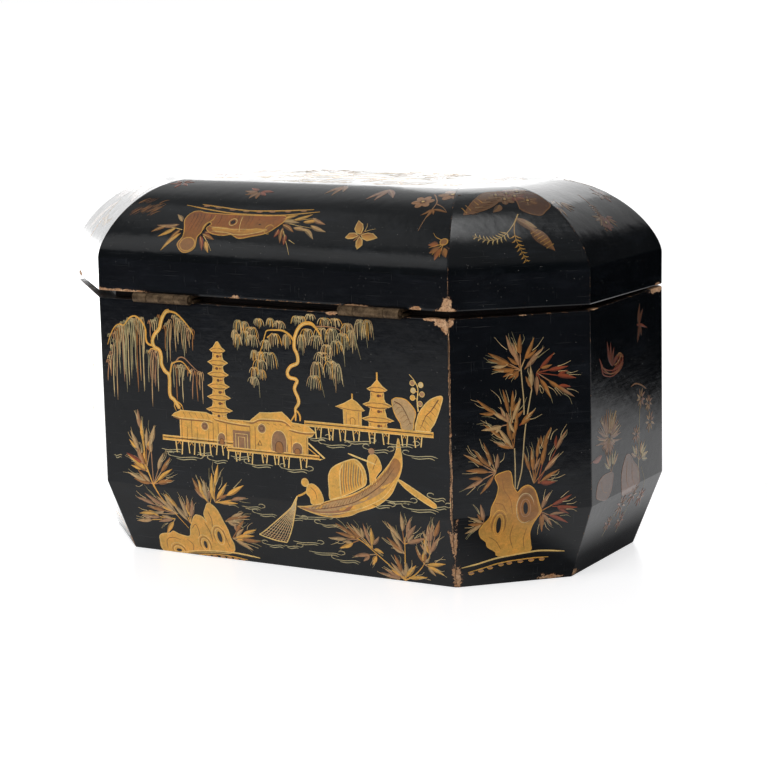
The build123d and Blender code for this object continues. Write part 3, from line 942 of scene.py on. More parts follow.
def strand(ink, u, top, end, tint, drift):
    """A hanging willow twig, drawn as one long stroke with a shorter one beside it."""
    length = top - end
    beside = (hand.uniform(0.7, 1.1), hand.uniform(0.2, 0.6), 0.34)
    for offset, share, width in ((0.0, 1.0, 0.52), beside):
        x, fall = u + offset, length * share
        path = [(x - 1.2, top - 1.6), (x - 0.4, top + 0.2), (x + 0.3, top - fall * 0.25),
                (x + drift * 0.6, top - fall * 0.6), (x + drift, top - fall)]
        ink.line(path, width, tint, "twig", 1)


def curtain(ink, u_low, u_high, top_low, top_high, end_low, end_high, count, tints):
    """Hanging twigs side by side, as many as count."""
    for index in range(count):
        t = (index + hand.uniform(0.2, 0.8)) / count
        top = top_low + (top_high - top_low) * t + either(0.8)
        strand(ink, u_low + (u_high - u_low) * t, top, hand.uniform(end_low, end_high), hand.choice(tints),
               hand.uniform(-0.6, 1.0))


def plume(ink, u, h, width, drop, tints):
    """A spray of twigs that fall to both sides like a fountain."""
    arcs, twig_width = 8, 0.36
    for index in range(arcs):
        side = 2 * index / (arcs - 1) - 1 + either(0.1)
        fall = drop * hand.uniform(0.75, 1.2) * (1.15 - 0.35 * abs(side))
        path = [(u, h - 1.2), (u + side * width * 0.22, h + 0.5 - abs(side) * 0.4),
                (u + side * width * 0.42, h - fall * 0.35), (u + side * width * 0.52, h - fall)]
        ink.line(path, twig_width, hand.choice(tints), "twig", 1)


def dimmed(tint, share):
    return tuple(part * share for part in tint)


def leaf(ink, start, end, width, tint, bend=0.0, layer=1, vein=None):
    """A pointed leaf with a shaded half."""
    fullest, shaded, lit_shift, lit_width, vein_width = 0.45, 0.5, 0.13, 0.66, 0.3
    start, end = Vector(start), Vector(end)
    across = Vector((-(end - start).y, (end - start).x))
    middle = start.lerp(end, fullest) + across * bend
    ink.line([start, middle, end], width, dimmed(tint, shaded), "leaf", layer)
    shift = across.normalized() * width * lit_shift
    ink.line([start + shift * 0.3, middle + shift, end], width * lit_width, tint, "leaf", layer + 1)
    if vein is not None:
        path = [start.lerp(end, 0.1), middle, start.lerp(end, 0.85)]
        ink.line(path, vein_width, vein, "strand", layer + 2)


def leaves(ink, start, tips, *style):
    for tip in tips:
        leaf(ink, start, tip, *style)


def fan(ink, origin, tips, tints, width=2.7):
    """Bamboo leaves on short stalks, one or two to each tip, each tip with two hair lines."""
    stalk_width, hair_width, second_chance = 0.55, 0.34, 0.6
    origin = Vector(origin)
    for tip in tips:
        reach = Vector(tip) - origin
        along = reach.normalized()
        length = min(reach.length * 0.85, hand.uniform(9.5, 12.5))
        base = Vector(tip) - along * length
        stalk = [origin, base.lerp(origin, 0.4), base + along]
        ink.line(stalk, stalk_width, hand.choice(tints), "brush", 1)
        if hand.random() < second_chance:
            side = hand.choice((-1, 1))
            end = base + turned(along, side * hand.uniform(0.42, 0.6)) * length * hand.uniform(0.6, 0.75)
            leaf(ink, base + along * 0.4, end, width * 0.8, hand.choice(tints), 0.05 * side)
        leaf(ink, base, Vector(tip), width * hand.uniform(0.85, 1.05), hand.choice(tints), either(0.04), 2)
        for _ in range(2):
            way = turned(along, either(0.4))
            end = base + way * length * hand.uniform(0.95, 1.25)
            bend = turned(way, math.pi / 2) * either(1.0)
            hair = [base + way * length * 0.5, base + way * length * 0.8 + bend, end]
            ink.line(hair, hair_width, hand.choice((SAGE, PALE, PALE)), "strand", 3)


def ripple(ink, u_low, u_high, h, curl):
    """A water line, doubled under itself, with a curl at its left (-1), right (1) or both ends (2)."""
    width = 0.46
    curl_reach, curl_angle, curl_steps = 2.2, 4.6, 14
    length = u_high - u_low
    rise = either(0.5)
    for offset, trim in ((0.0, 0.0), (1.1, 0.16)):
        a, b = u_low + length * trim, u_high - length * trim * 0.6
        low = h - offset
        ink.line([(a, low + rise * 0.4), (a + (b - a) * 0.3, low - 0.5), ((a + b) / 2, low - 0.2),
                  (b - (b - a) * 0.2, low + 0.3), (b, low + rise)], width, WATER)
    for side, u in ((-1, u_low), (1, u_high)):
        if curl in (side, 2):
            spiral = []
            for index in range(curl_steps + 1):
                a = index / curl_steps * curl_angle
                r = curl_reach * (1 - 0.5 * index / curl_steps)
                spiral.append((u + side * (r * math.sin(a)) * 1.2, h + 1.3 - r * 0.62 * math.cos(a)))
            ink.line(spiral, width, WATER)


def stilts(ink, pairs, top, bottom):
    """Deck posts in splayed pairs."""
    splay, width = 0.6, 0.75
    for left, right in pairs:
        for u, lean in ((left, splay), (right, -splay)):
            foot = bottom + either(0.8)
            ink.line([(u - lean, top), (u, foot)], width, BRIGHT, "bar", 1, False)
        arch = [(left + 0.4, top - 1.6), ((left + right) / 2, top - 0.2), (right - 0.4, top - 1.6)]
        ink.line(arch, 0.4, GOLD, "bar", 1)


def beam(ink, u_low, u_high, h_top, h_low):
    """A deck edge: two gold rails with a dark line between them."""
    ink.patch([(u_low, h_low), (u_high, h_low), (u_high, h_top), (u_low, h_top)], GOLD, 2, False)
    middle = (h_top + h_low) / 2 + 0.15
    ink.line([(u_low + 0.4, middle), (u_high - 0.4, middle)], 0.5, DARK, "bar", 3, False)
    for h in (h_top - 0.2, h_low + 0.2):
        ink.line([(u_low, h), (u_high, h)], 0.35, BRIGHT, "bar", 3, False)


def rock_contours(ink, points, tint=BRIGHT):
    """Rings about the holes of a garden rock."""
    for u, h, reach_u, reach_h in points:
        ink.ring((u, h), reach_u + 1.3, reach_h + 1.5, 0.5, tint, 4)
        ink.ring((u, h), reach_u + 2.2, reach_h + 2.4, 0.45, OCHRE, 4, -0.6, 3.9)
        ink.ring((u, h), reach_u + 3.2, reach_h + 3.6, 0.45, tint, 4, 0.2, 3.2)
        ink.blob((u, h), reach_u, reach_h, DARK, 4)


def along_path(points, count, first):
    """Places at even steps along a smooth path."""
    path = smooth_path([Vector(point) for point in points])
    return [path[int((index + first) / count * (len(path) - 1))] for index in range(count)]


def terrace(ink, upper, lower, knobs):
    """Curved ledge lines with a row of small knobs between them."""
    ink.line(upper, 0.9, BRIGHT, "brush", 4)
    ink.line([(u, h - 1.0) for u, h in upper], 0.8, DARK, "brush", 3)
    ink.line(lower, 0.6, GOLD, "brush", 3)
    for place in along_path(lower, knobs, 0.5):
        ink.blob((place.x, place.y - 0.9), 1.2, 0.8, TAN, 3)
        ink.ring((place.x, place.y - 0.7), 1.4, 1.1, 0.34, GOLD, 4, math.pi, FULL_TURN)


def pagoda(ink, u, tiers, base):
    """Tiers from the top down: height of the eaves, half width of the roof, half width of the wall."""
    right = []
    for height, roof, wall in tiers:
        right += [(wall * 0.95, height + 3.1), (roof * 0.55, height + 1.5), (roof, height + 0.1),
                  (roof * 0.6, height - 1.1), (wall, height - 1.7)]
    right[0] = (0.4, tiers[0][0] + 4.4)
    right.append((tiers[-1][2] + 0.4, base))
    outline = [(u + x, h) for x, h in right] + [(u - x, h) for x, h in reversed(right)]
    ink.patch(outline, GOLD, 2, False, BRIGHT, 0.36)
    for height, roof, wall in tiers:
        for side in (-1, 1):
            x, y = side * roof, side * wall
            ridge = [(u + x * 0.85, height), (u + x * 0.45, height + 0.9), (u, height + 1.1)]
            post = [(u + y * 0.9, height - 1.9), (u + y * 0.8, height - 3.2)]
            ink.line(ridge, 0.4, OCHRE, "brush", 3)
            ink.line(post, 0.36, OCHRE, "bar", 3, False)
        eave = [(u - roof * 0.8, height - 0.8), (u, height - 1.3), (u + roof * 0.8, height - 0.8)]
        ink.line(eave, 0.5, BROWN, "brush", 3)
        ink.blob((u + either(0.8), height - 3.0), 0.9, 0.75, BROWN, 3)
        ink.blob((u + hand.uniform(1.2, 2.0), height - 2.9), 0.5, 0.5, RUST, 3)


def pavilions(ink):
    """The long low halls, drawn as one gold mass with round windows and arches."""
    outline = [(-54, 25.5), (-54, 37), (-59, 38), (-57, 39.5), (-53, 41), (-38, 41), (-35, 40), (-26, 40),
               (-25, 38.5), (-12, 38.7), (-10.5, 40), (-9, 41), (-6, 43.5), (0, 43.8), (7, 44.8),
               (10, 42.5), (13, 39.8), (20, 39.4), (22, 38.7), (26, 36), (24, 33.8), (21.6, 33), (21.6, 24),
               (-24, 24), (-24, 25.5)]
    ink.patch(outline, GOLD, 1, False, BRIGHT, 0.4)
    eaves = [[(-58, 38), (-53, 37.2), (-38, 37.2), (-34, 36.6)],
             [(-33, 38.4), (-26, 37.4), (-18, 36.8), (-12, 36.6)],
             [(-14, 38.4), (-10, 38.6), (-6, 40.2), (2, 40.6), (8, 40.4), (12, 38.2)],
             [(11, 36.6), (16, 35.8), (21, 35.6), (25.6, 36)]]
    for path in eaves:
        ink.line([(u, h - 0.7) for u, h in path], 0.8, OCHRE, "brush", 2)
        ink.line(path, 0.5, BRIGHT, "brush", 3)
    for u in (-53, -47, -34, -31, -26, -12, -9, 12, 21):
        post = [(u, 25.6 if u < -24 else 24.4), (u, 36.2 if u < 12 else 33)]
        ink.line(post, 0.42, OCHRE, "bar", 2, False)
    for index in range(20):
        u = -52 + index * 3.6
        ink.line([(u, 40.4 if u < -35 else 38.4), (u + 1.6, 37.8)], 0.34, OCHRE, "strand", 2, False)
    for u, h, radius in ((-39, 34, 2.2), (-5, 35.5, 2.4)):
        ink.blob((u, h), radius, radius, dimmed(TAN, 0.75), 2)
        ink.ring((u, h), radius, radius, 0.45, BRIGHT, 3)
        ink.ring((u, h), radius * 0.5, radius * 0.5, 0.4, BROWN, 3)
    for u, h, wide, tall in ((5, 24.3, 8.6, 11.0), (15.5, 24.3, 6.0, 5.8), (-29, 25.6, 4.8, 5.8)):
        for share, layer, fill, rim in ((1.0, 2, dimmed(TAN, 0.72), BRIGHT), (0.5, 3, AMBER, BROWN)):
            w, t = wide * share / 2, tall * share
            arch = [(u - w, h), (u - w, h + t * 0.6), (u - w * 0.6, h + t * 0.92), (u, h + t),
                    (u + w * 0.6, h + t * 0.92), (u + w, h + t * 0.6), (u + w, h)]
            ink.patch(arch, fill, layer)
            ink.line(arch, 0.45, rim, "bar", 4)
    ink.patch([(-22.4, 24.6), (-22.4, 33.4), (-11.8, 33.4), (-11.8, 24.6)], dimmed(TAN, 0.72), 2, False)
    low = 24.6
    for offset, tint in ((0.0, GOLD), (1.8, BRIGHT), (3.4, BRIGHT)):
        high, left, right = 33.6 - offset, -22.4 + offset, -11.8 - offset
        ink.line([(left, low), (left, high), (right, high), (right, low)], 0.4, tint, "bar", 3, False)
    ink.line([(-7.6, 27), (-6.4, 29.4), (-5.2, 27), (-7.6, 27)], 0.45, BROWN, "bar", 3, False)
    for u in (-50, -44, -37):
        ink.line([(u, 26), (u + 0.4, 33)], 0.4, BROWN, "strand", 2, False)
    beam(ink, -65, -22, 27.6, 24.9)
    beam(ink, -26, 28, 24.7, 22.4)
    ink.line([(21.8, 30.4), (31, 23.4), (28, 22.6)], 0.9, BRIGHT, "bar", 3, False)
    ink.line([(21.8, 27.8), (27.4, 24.2)], 0.5, GOLD, "bar", 3, False)
    stilts(ink, [(-56.5, -53.5), (-48.8, -46), (-42.2, -40.2), (-35.8, -32.6), (-28.4, -25.6)], 25, 19)
    right_posts = [(-20.5, -18.8), (-13.4, -11.4), (-4.8, -2.8), (2.4, 4), (7.6, 10), (17.4, 20.2)]
    stilts(ink, right_posts, 22.6, 17.4)


def willow_left(ink):
    tints = [PALE, SAGE, SAGE, TAN, AMBER, SAND]
    for row in (
            (-98, -91, 62, 80, 41, 60, 6), (-91, -85, 82, 84, 50, 66, 5), (-88, -74, 84, 87, 44, 60, 10),
            (-73, -66, 70, 71, 40, 60, 6), (-71, -64, 85, 89, 74, 82, 5), (-62, -57, 84, 87, 63, 74, 4),
            (-56, -44, 90, 82, 66, 80, 10), (-58, -39, 65, 61, 43, 60, 11), (-97, -86, 76, 84, 66, 76, 5),
            (-84, -76, 87, 86, 66, 80, 6)):
        curtain(ink, *row, tints)
    trunk = [(-54, 42), (-57, 46), (-59.5, 48.5), (-59.5, 58), (-62, 60.5), (-64, 64), (-64, 68), (-65, 71),
             (-68, 72.5), (-69, 75.5), (-67.5, 79), (-64.5, 82), (-63.5, 85), (-62, 88.5),
             (-60, 91), (-58, 91.5)]
    ink.line(trunk, 2.1, GOLD, "bar", 3)
    ink.line([(u + 0.35, h) for u, h in trunk], 0.7, BRIGHT, "brush", 4)
    ink.line([(-58.5, 91.4), (-54, 90.5), (-50, 87.5), (-46, 83.5), (-44, 80)], 1.2, GOLD, "strand", 3)
    ink.line([(-68, 73), (-72, 74), (-73, 77), (-73, 81), (-75, 85), (-78.5, 87.5), (-82, 87), (-85, 84),
              (-86.5, 82.5), (-89, 83), (-92, 81.5), (-95, 77), (-97, 72)], 1.25, GOLD, "strand", 3)
    ink.line([(-59.5, 57), (-58.5, 61), (-57.5, 64.5), (-54, 66), (-51, 65.8), (-48, 63), (-46, 60)], 1.2,
             GOLD, "strand", 3)
    ink.line([(-55, 66), (-53, 68), (-50, 68), (-45, 64), (-41, 61)], 0.8, TAN, "strand", 3)
    ink.line([(-67, 71), (-70, 71.5), (-72, 69)], 0.8, GOLD, "strand", 3)
    ink.lines([[(-56.5, 46), (-57, 43), (-56, 40.5)], [(-55, 45), (-54.5, 43), (-53.2, 41)],
               [(-57, 46), (-53, 44), (-51.6, 41)]], 0.9, GOLD, "strand", 3)


def willow_middle(ink):
    tints = [PALE, PALE, SAGE, SAGE, SAND, GOLD]
    for u, h, width, drop in (
            (-17, 89, 6, 6), (-13, 88.5, 5, 5), (-19, 84, 4, 5), (-17.5, 82, 5, 7), (-9, 86, 8, 6),
            (-5, 90.5, 6, 4), (-9, 82, 8, 6), (-8, 74.5, 5, 5), (-4, 74, 5, 5), (-5, 70, 8, 6),
            (-8, 66, 6, 5), (-4, 65, 5, 5), (-9, 61, 6, 4), (2, 91, 5, 4), (7, 90, 7, 4), (4, 83.5, 8, 6),
            (11, 83.5, 5, 6), (1, 74, 10, 8), (17, 93, 6, 4), (20, 93, 6, 4), (25, 94.4, 6, 3),
            (33, 93, 8, 4), (39, 93, 8, 4), (23, 87, 8, 7), (28, 84, 8, 6), (31, 88, 8, 6), (37, 88, 8, 7),
            (39, 82, 8, 7), (43, 86, 8, 8), (46, 91, 8, 9), (53, 93.4, 6, 9), (57, 93.4, 6, 8),
            (31, 76, 10, 6), (28, 71, 8, 9), (36, 72, 8, 8), (39, 71, 7, 11), (26, 64, 8, 7),
            (20, 84, 5, 8), (34, 80, 7, 7), (-1, 80, 6, 5), (48, 88, 6, 9), (-13, 84, 6, 6)):
        plume(ink, u, h, width, drop, tints)
    ink.lines([[(42, 88), (46, 91), (49, 88), (51, 81), (53, 74)], [(50, 91), (54, 92), (56, 87), (57, 80)],
               [(56, 93), (58.5, 92), (60, 88), (60.5, 84)], [(30, 74), (36, 73), (41, 69), (43, 60)],
               [(29, 75), (33, 72), (36, 67), (38, 60)], [(-8, 62), (-6, 59), (-5.4, 51)],
               [(39, 84), (43, 80), (44, 70)], [(24, 64), (29, 64), (31, 58), (32, 54)]], 0.5,
              SAGE, "strand", 1)
    trunk = [(15, 41), (15, 44), (15, 47), (17, 50), (16.5, 53), (15, 56), (15, 58), (16.5, 61), (15, 62),
             (12, 62.5), (11, 65), (13, 68), (17, 70), (17, 74), (15.5, 77), (15.5, 80), (16, 83), (18, 87),
             (21, 89.5), (25, 90), (28, 88), (31, 84)]
    ink.line(trunk, 1.9, GOLD, "brush", 3)
    ink.line([(u + 0.3, h) for u, h in trunk[1:-2]], 0.7, BRIGHT, "brush", 4)
    ink.line([(15.5, 80.5), (13, 83.5), (9, 85.5), (4, 85.5), (0, 85), (-1, 83.5), (-2.5, 79), (-4, 75),
              (-5, 72)], 1.2, GOLD, "strand", 3)
    ink.line([(0, 81.5), (3, 84)], 0.8, GOLD, "strand", 3)
    ink.line([(27, 88.6), (34, 89), (41, 88), (45, 84)], 0.7, TAN, "strand", 3)
    ink.line([(12, 40.5), (14, 43), (15.6, 46)], 0.9, GOLD, "brush", 3)
    ink.line([(17.6, 41), (17.4, 44), (15.4, 46.5)], 1.0, GOLD, "brush", 3)


def pier(ink):
    beam(ink, 20, 92, 41.6, 38.7)
    stilts(ink, [(26.6, 29), (34.2, 35.8), (40.4, 42.8), (48, 50.6), (57, 59.2), (64.6, 67), (75, 77.2),
                 (82, 85)], 38.9, 33.4)


def cottage(ink):
    ink.patch([(42.5, 41.5), (42.3, 49), (38, 50), (43, 52), (47.3, 54.4), (50, 53), (54.4, 49),
               (52.5, 48.4), (52.5, 41.5)], GOLD, 2, False, BRIGHT, 0.36)
    ink.line([(47.5, 54), (47.5, 57)], 0.9, GOLD, "bar", 2, False)
    ink.line([(39.4, 49.9), (46, 49), (53.6, 48.8)], 0.45, OCHRE, "brush", 3)
    ink.lines([[(44, 42), (44, 48)], [(51, 42), (51, 48)]], 0.4, TAN, "bar", 3, False)
    ink.line([(46.2, 41.8), (46.2, 44.4), (47.5, 45.2), (48.8, 44.4), (48.8, 41.8)], 0.4, OCHRE, "bar", 3)


def banana(ink):
    """Two broad leaves and a stem of berries at the end of the pier."""
    ink.patch([(69.5, 55.5), (72, 56.8), (77, 56.3), (80, 54), (82.5, 50.5), (81.5, 46), (80.5, 41.7),
               (75, 41.7), (74, 44.5), (71.5, 48), (70, 52)], SAND, 2, True, GOLD, 0.5)
    ink.patch([(82, 41.7), (84, 49.5), (88, 55), (92, 58), (97, 59.2), (96, 54), (93, 46.5), (90.5, 43),
               (90, 41.7)], GOLD, 2, True, BRIGHT, 0.5)
    left_vein = [(71, 55), (74.5, 53.4), (77, 50), (80, 44)]
    right_vein = [(95, 57.5), (91, 52), (88, 49), (85, 43)]
    for vein, ribs in ((left_vein, -1), (right_vein, 1)):
        ink.line(vein, 0.6, BROWN, "strand", 4)
        (start_u, start_h), (end_u, end_h) = vein[0], vein[-1]
        for index in range(6):
            t = index / 6 + 0.08
            u = start_u + (end_u - start_u) * t
            h = start_h + (end_h - start_h) * t
            ink.line([(u, h), (u + ribs * 2.4, h - 2.2)], 0.3, OCHRE, "strand", 3, False)
            ink.line([(u, h), (u - ribs * 2.2, h + 0.2)], 0.3, OCHRE, "strand", 3, False)
    ink.line([(84, 51), (83.5, 56), (84, 62), (82, 66), (79.5, 68.7)], 0.8, BRIGHT, "strand", 3)
    for u, h, tint in (
            (81, 64.6, TAN), (85.6, 64, PALE), (81.4, 61, PALE), (86.2, 59.5, TAN), (81, 57.5, GOLD),
            (85, 54.8, TAN)):
        ink.blob((u, h), 1.4, 1.4, tint, 2)
        ink.ring((u, h), 1.3, 1.3, 0.32, BRIGHT, 3)
        ink.line([(u, h), (83.7, h - 0.6)], 0.4, GOLD, "bar", 1, False)


def water(ink):
    for u_low, u_high, h, curl in (
            (-66, -53, 20.3, 0), (-60, -43, 17, 2), (-44, -36, 20, 0), (-36, -26, 17, -1),
            (-24, -12, 20, 0), (-14, 1, 17, -1), (7, 22, 16.5, 2), (21, 33, 33.4, 1), (30, 44, 30.8, 2),
            (42, 58, 33.7, 1), (55, 68, 30.4, 2), (66, 82, 34.2, 1), (77, 94, 29.4, -1), (57, 68, 3.0, 1),
            (63, 80, 6.0, 1), (76, 94, 3.2, -1), (10, 31, -8, 1), (24, 36, -11.6, -1), (0, 9, -27.4, 1),
            (6, 22, -24, 1), (14, 33, -29, 1), (29, 43, -32, -1), (-96, -91, 14.5, 0), (-20, -8, -6, 1),
            (-12, 0, -9.5, -1), (-11, 0, -28, -1), (90, 98, 9.5, -1), (91, 99, 5.5, 1), (5, 16, -10, 1)):
        ripple(ink, u_low, u_high, h, curl)


def boat(ink):
    """The covered boat with its two tiny rowers, oar and cast net."""
    hull = [(14, -2.5), (20, -1.7), (26, 0), (33, 2.5), (45, 6.5), (52, 10), (58, 14), (63, 19), (68, 25),
            (71, 30), (72.5, 37), (74, 31), (74.5, 25), (73.5, 20), (71, 14.5), (68, 9), (63, 4.5),
            (58, 1.5), (50, -1.5), (44, -4.5), (36, -6.5), (30, -6.8), (24, -6), (18, -4.3)]
    ink.patch(hull, GOLD, 1, True, BRIGHT, 0.35)
    band = [(20, -2.4), (28, -0.6), (36, 2.6), (46, 5.6), (54, 10), (60, 14.8), (66, 21), (70, 27),
            (73.4, 25), (72.4, 20), (68, 14.4), (62, 9), (54, 4.4), (44, 0.4), (36, -2.4), (26, -4)]
    ink.patch(band, AMBER, 2, foot=SAND)
    for index in range(26):
        t = index / 26
        u, h = 22 + 48 * t, -3 + 26 * t * t
        plank = [(u, h), (u + 2.2, h + 2.6 + 2.4 * t)]
        ink.line(plank, 0.36, OCHRE if index % 4 else BROWN, "strand", 3, False)
    for u, h in ((24, -3), (38, -2), (50, 4), (62, 11.5)):
        ink.line([(u, h), (u + 3, h + 1.2), (u + 6, h + 3.2)], 1.6, GOLD, "leaf", 3)
    ink.patch([(15, -2.8), (24, -2.8), (33, -0.8), (43, 2.4), (47, 2.6), (43, -2.4), (36, -5.2), (30, -5.8),
               (23, -5)], UMBER, 2, foot=TAN)
    for offset, tint in ((-1.4, BROWN), (1.8, OCHRE)):
        strake = [(u, h + offset) for u, h in ((34, 0.4), (46, 4), (56, 9.6), (64, 16), (70, 23.6))]
        ink.line([(22, -3 + offset * 0.4)] + strake, 0.5, tint, "brush", 3)
    ink.line([(22, -5.4), (34, -4.6), (46, -1.4), (56, 2.6), (64, 7.4), (70, 14.6)], 0.5,
             BRIGHT, "brush", 3)
    cabin = [(33.5, 3), (33, 10), (33, 15), (35, 19), (40, 22), (46, 24.3), (49, 24.3), (52, 22), (54, 18),
             (54, 13), (50, 10), (42, 6)]
    ink.patch(cabin, GOLD, 2, True, BRIGHT, 0.6)
    for index in range(9):
        u = 40.6 + index * 1.35
        mat = [(u, 6.4 + index * 0.7), (u - 0.6, 14), (u + 0.2, 21.6 + math.sin(index * 0.5) * 1.4)]
        ink.line(mat, 0.6, dimmed(SAGE, 0.7) if index % 2 else AMBER, "brush", 3)
    ink.line([(39.8, 5.8), (39.4, 13), (39.6, 18), (41.5, 22)], 0.8, BRIGHT, "brush", 4)
    ink.line([(52.4, 11.4), (52.6, 16), (51.2, 20.6), (48, 23.4)], 0.6, BRIGHT, "brush", 4)
    ink.patch([(56.5, 13), (56, 19), (55, 23), (56, 27), (59, 28), (61.5, 26), (63, 21.5), (61, 18.5),
               (59.5, 16), (60, 13.6)], GOLD, 2, True, BRIGHT, 0.35)
    ink.blob((57.6, 29.4), 1.7, 1.6, TAN, 3)
    ink.line([(55.6, 30.6), (59.8, 30.8)], 0.7, OCHRE, "leaf", 4, False)
    ink.line([(44.4, 27.2), (50, 25.6), (57, 23.8), (60, 23)], 0.9, BRIGHT, "brush", 4)
    ink.line([(58, 20), (59.4, 23.6), (60.6, 26)], 0.4, OCHRE, "brush", 3)
    ink.patch([(71.6, 16.6), (74, 16.2), (85, 10.6), (92.6, 6.2), (91.6, 4.4), (84, 7.8), (76, 12.6)], GOLD,
              2, True, BRIGHT, 0.4)
    ink.blob((19.3, 10.4), 2.2, 2.2, GOLD, 3)
    ink.ring((19.3, 10.4), 2.0, 2.0, 0.36, BRIGHT, 4)
    ink.line([(17.4, 11.8), (19.4, 12.6), (21.2, 11.6)], 0.6, OCHRE, "brush", 4)
    ink.patch([(20.5, 9.5), (24, 10), (27.5, 7.5), (29.5, 3.5), (29, 0.6), (25, -0.4), (22.5, 0.2), (22, 3),
               (20, 5), (20.3, 8)], GOLD, 2, True, BRIGHT, 0.35)
    ink.line([(22.4, 8.4), (25, 6), (26, 2.4)], 0.4, OCHRE, "brush", 3)
    ink.line([(20.6, 6.2), (17.5, 4.2), (14.5, 3)], 1.1, GOLD, "brush", 3)
    net_left = [(14.5, 3), (10.5, -3), (5, -8), (-3, -14.5), (-9, -19.4), (-13.5, -22.5)]
    net_right = [(14.5, 3), (12.4, -4), (9.8, -10.5), (7.2, -16.5), (4.6, -21.5), (2, -25.5)]
    net_foot = [net_left[-1], (-9.5, -23.8), (-4, -25), net_right[-1]]
    ink.lines([net_left, net_right, net_foot], 0.7, BRIGHT, "bar", 3)
    net_left, net_right = [Vector(p) for p in net_left], [Vector(p) for p in net_right]
    knots = 5
    for index in range(1, 9):
        t = index / 9
        sag = -0.8 * math.sin(math.pi * t)
        hoop = [a.lerp(b, t) for a, b in zip(net_left, net_right)]
        hoop = [place + Vector((0.0, sag * step / knots)) for step, place in enumerate(hoop)]
        ink.line(hoop, 0.4, PALE, "bar", 2)
    for index in range(1, 15):
        along = index / 15 * knots
        step = int(along)
        a = net_left[step].lerp(net_left[step + 1], along - step)
        b = net_right[step].lerp(net_right[step + 1], along - step)
        ink.line([a, a.lerp(b, 0.5) + Vector((0.0, -0.16 * along)), b], 0.4, TAN, "bar", 2)


def rock_low(ink):
    ink.patch([(-77.5, -40), (-77.5, -32), (-75, -29.5), (-70, -28.5), (-67.5, -27), (-64, -28.5),
               (-58, -29), (-56, -24), (-54, -20), (-52, -16.5), (-50, -15), (-47, -15.5), (-45.5, -17),
               (-44.6, -19), (-45, -14), (-43, -10), (-41, -7), (-39, -7), (-36.5, -9.5), (-35, -13),
               (-34, -17), (-32.5, -22), (-32, -27), (-31, -31), (-32, -35), (-36, -37), (-45, -37.6),
               (-58, -39.4), (-65, -40)], GOLD, 2, True, BRIGHT, 0.4)
    rock_contours(ink, [(-38.7, -27, 1.3, 3.4), (-49, -33, 1.0, 2.3), (-67, -38.6, 1.7, 0.9)])
    ink.lines([[(-74, -38), (-73, -33), (-69, -31), (-64, -32)],
               [(-55, -24), (-52, -21), (-51, -26), (-53, -31)], [(-42, -12), (-41, -17), (-42, -22)],
               [(-36, -20), (-35, -27), (-34, -33)], [(-60, -31), (-57, -34), (-58, -38)],
               [(-46, -19), (-44, -25), (-44, -31)]], 0.45, OCHRE, "brush", 3)
    terrace(ink, [(-66, -39.8), (-55, -37.6), (-42, -36.2), (-30, -36.2), (-17, -37.4)],
            [(-55, -40), (-45, -38.7), (-35, -38.6), (-25, -39.6)], 7)


def bamboo_low(ink):
    """Bamboo about the rock at the lower left."""
    warm = [SAND, GOLD, SAND, GOLD, TAN, AMBER]
    for origin, tips in (
            ((-76, 9), [(-85, 28), (-80, 39.5), (-75, 30), (-70, 32), (-78, 34)]),
            ((-75, 7), [(-82, 22), (-87, 15), (-84, 11)]),
            ((-72, 1), [(-82, 20), (-73, 27), (-61, 16), (-65, 18), (-60, 10), (-60, 4), (-88, 6),
                        (-84, 3)]),
            ((-62, -16), [(-85, -8), (-79, -5), (-72, -6), (-67, -4), (-86, -18), (-80, -13)]),
            ((-55, -21), [(-58, -5), (-53, -4), (-50, -6), (-66, -4), (-63, -9)]),
            ((-64, -19), [(-89, -23), (-75, -22), (-72, -29), (-84, -19)]),
            ((-40, -7), [(-48, 6.5), (-44, 6), (-41, 6), (-43, 2)]),
            ((-36, -6), [(-36, 10), (-32, 15), (-27, 6), (-17, 5.5), (-16, -1), (-22, -5), (-37, 6)]),
            ((-33, -17), [(-20, -10), (-17, -12), (-23, -17), (-24, -13)]),
            ((-31, -27), [(-21, -15), (-15, -20), (-14, -27), (-20, -33), (-17, -24)])):
        fan(ink, origin, tips, warm)
    ink.line([(-76, 10), (-72, 0), (-69, -7), (-62, -17), (-57, -24)], 0.8, GOLD, "strand", 2)
    ink.line([(-70, -5), (-72, 2)], 0.7, GOLD, "strand", 2)
    ink.line([(-40, -8), (-38, -4), (-36, 2)], 0.7, GOLD, "strand", 1)
    leaf(ink, (-79, 12), (-88, 16), 3.0, RUST, 0.05, 2)


def bamboo_right(ink):
    """Bamboo that grows from the lower right of the back."""
    warm = [SAND, GOLD, TAN, SAND, AMBER, TAN]
    ink.lines([[(67, -39.8), (60, -32), (54, -26), (47, -19)],
               [(67, -39.8), (69, -30), (71, -20), (72, -14)],
               [(67, -39.8), (73, -36), (78, -31), (80, -28)], [(80, -28), (83, -25), (84, -23)]], 1.0,
              GOLD, "strand", 2)
    for origin, tips in (
            ((52, -23), [(34, -10), (40, -10), (43, -9.5), (50, -8.5), (54, -10.5), (58, -25)]),
            ((46, -18.6), [(33, -15.5), (28, -19.5), (33, -25)]),
            ((54, -26), [(40, -29), (50, -33)]),
            ((71, -18), [(64, -6), (73, 0), (78, -2), (80, -6), (84, -13)]),
            ((70, -24), [(62, -15), (65, -10), (64, -20)]),
            ((80, -29), [(77, -19), (84, -13), (92, -27), (90, -34), (82, -22)]),
            ((84, -23), [(83, -13), (87, -5), (90, -3), (94, -1.5), (92, -11)]),
            ((67, -39), [(53, -37), (56, -34), (64, -25), (75, -30), (80, -36.4), (61, -30), (70, -29)])):
        fan(ink, origin, tips, warm)


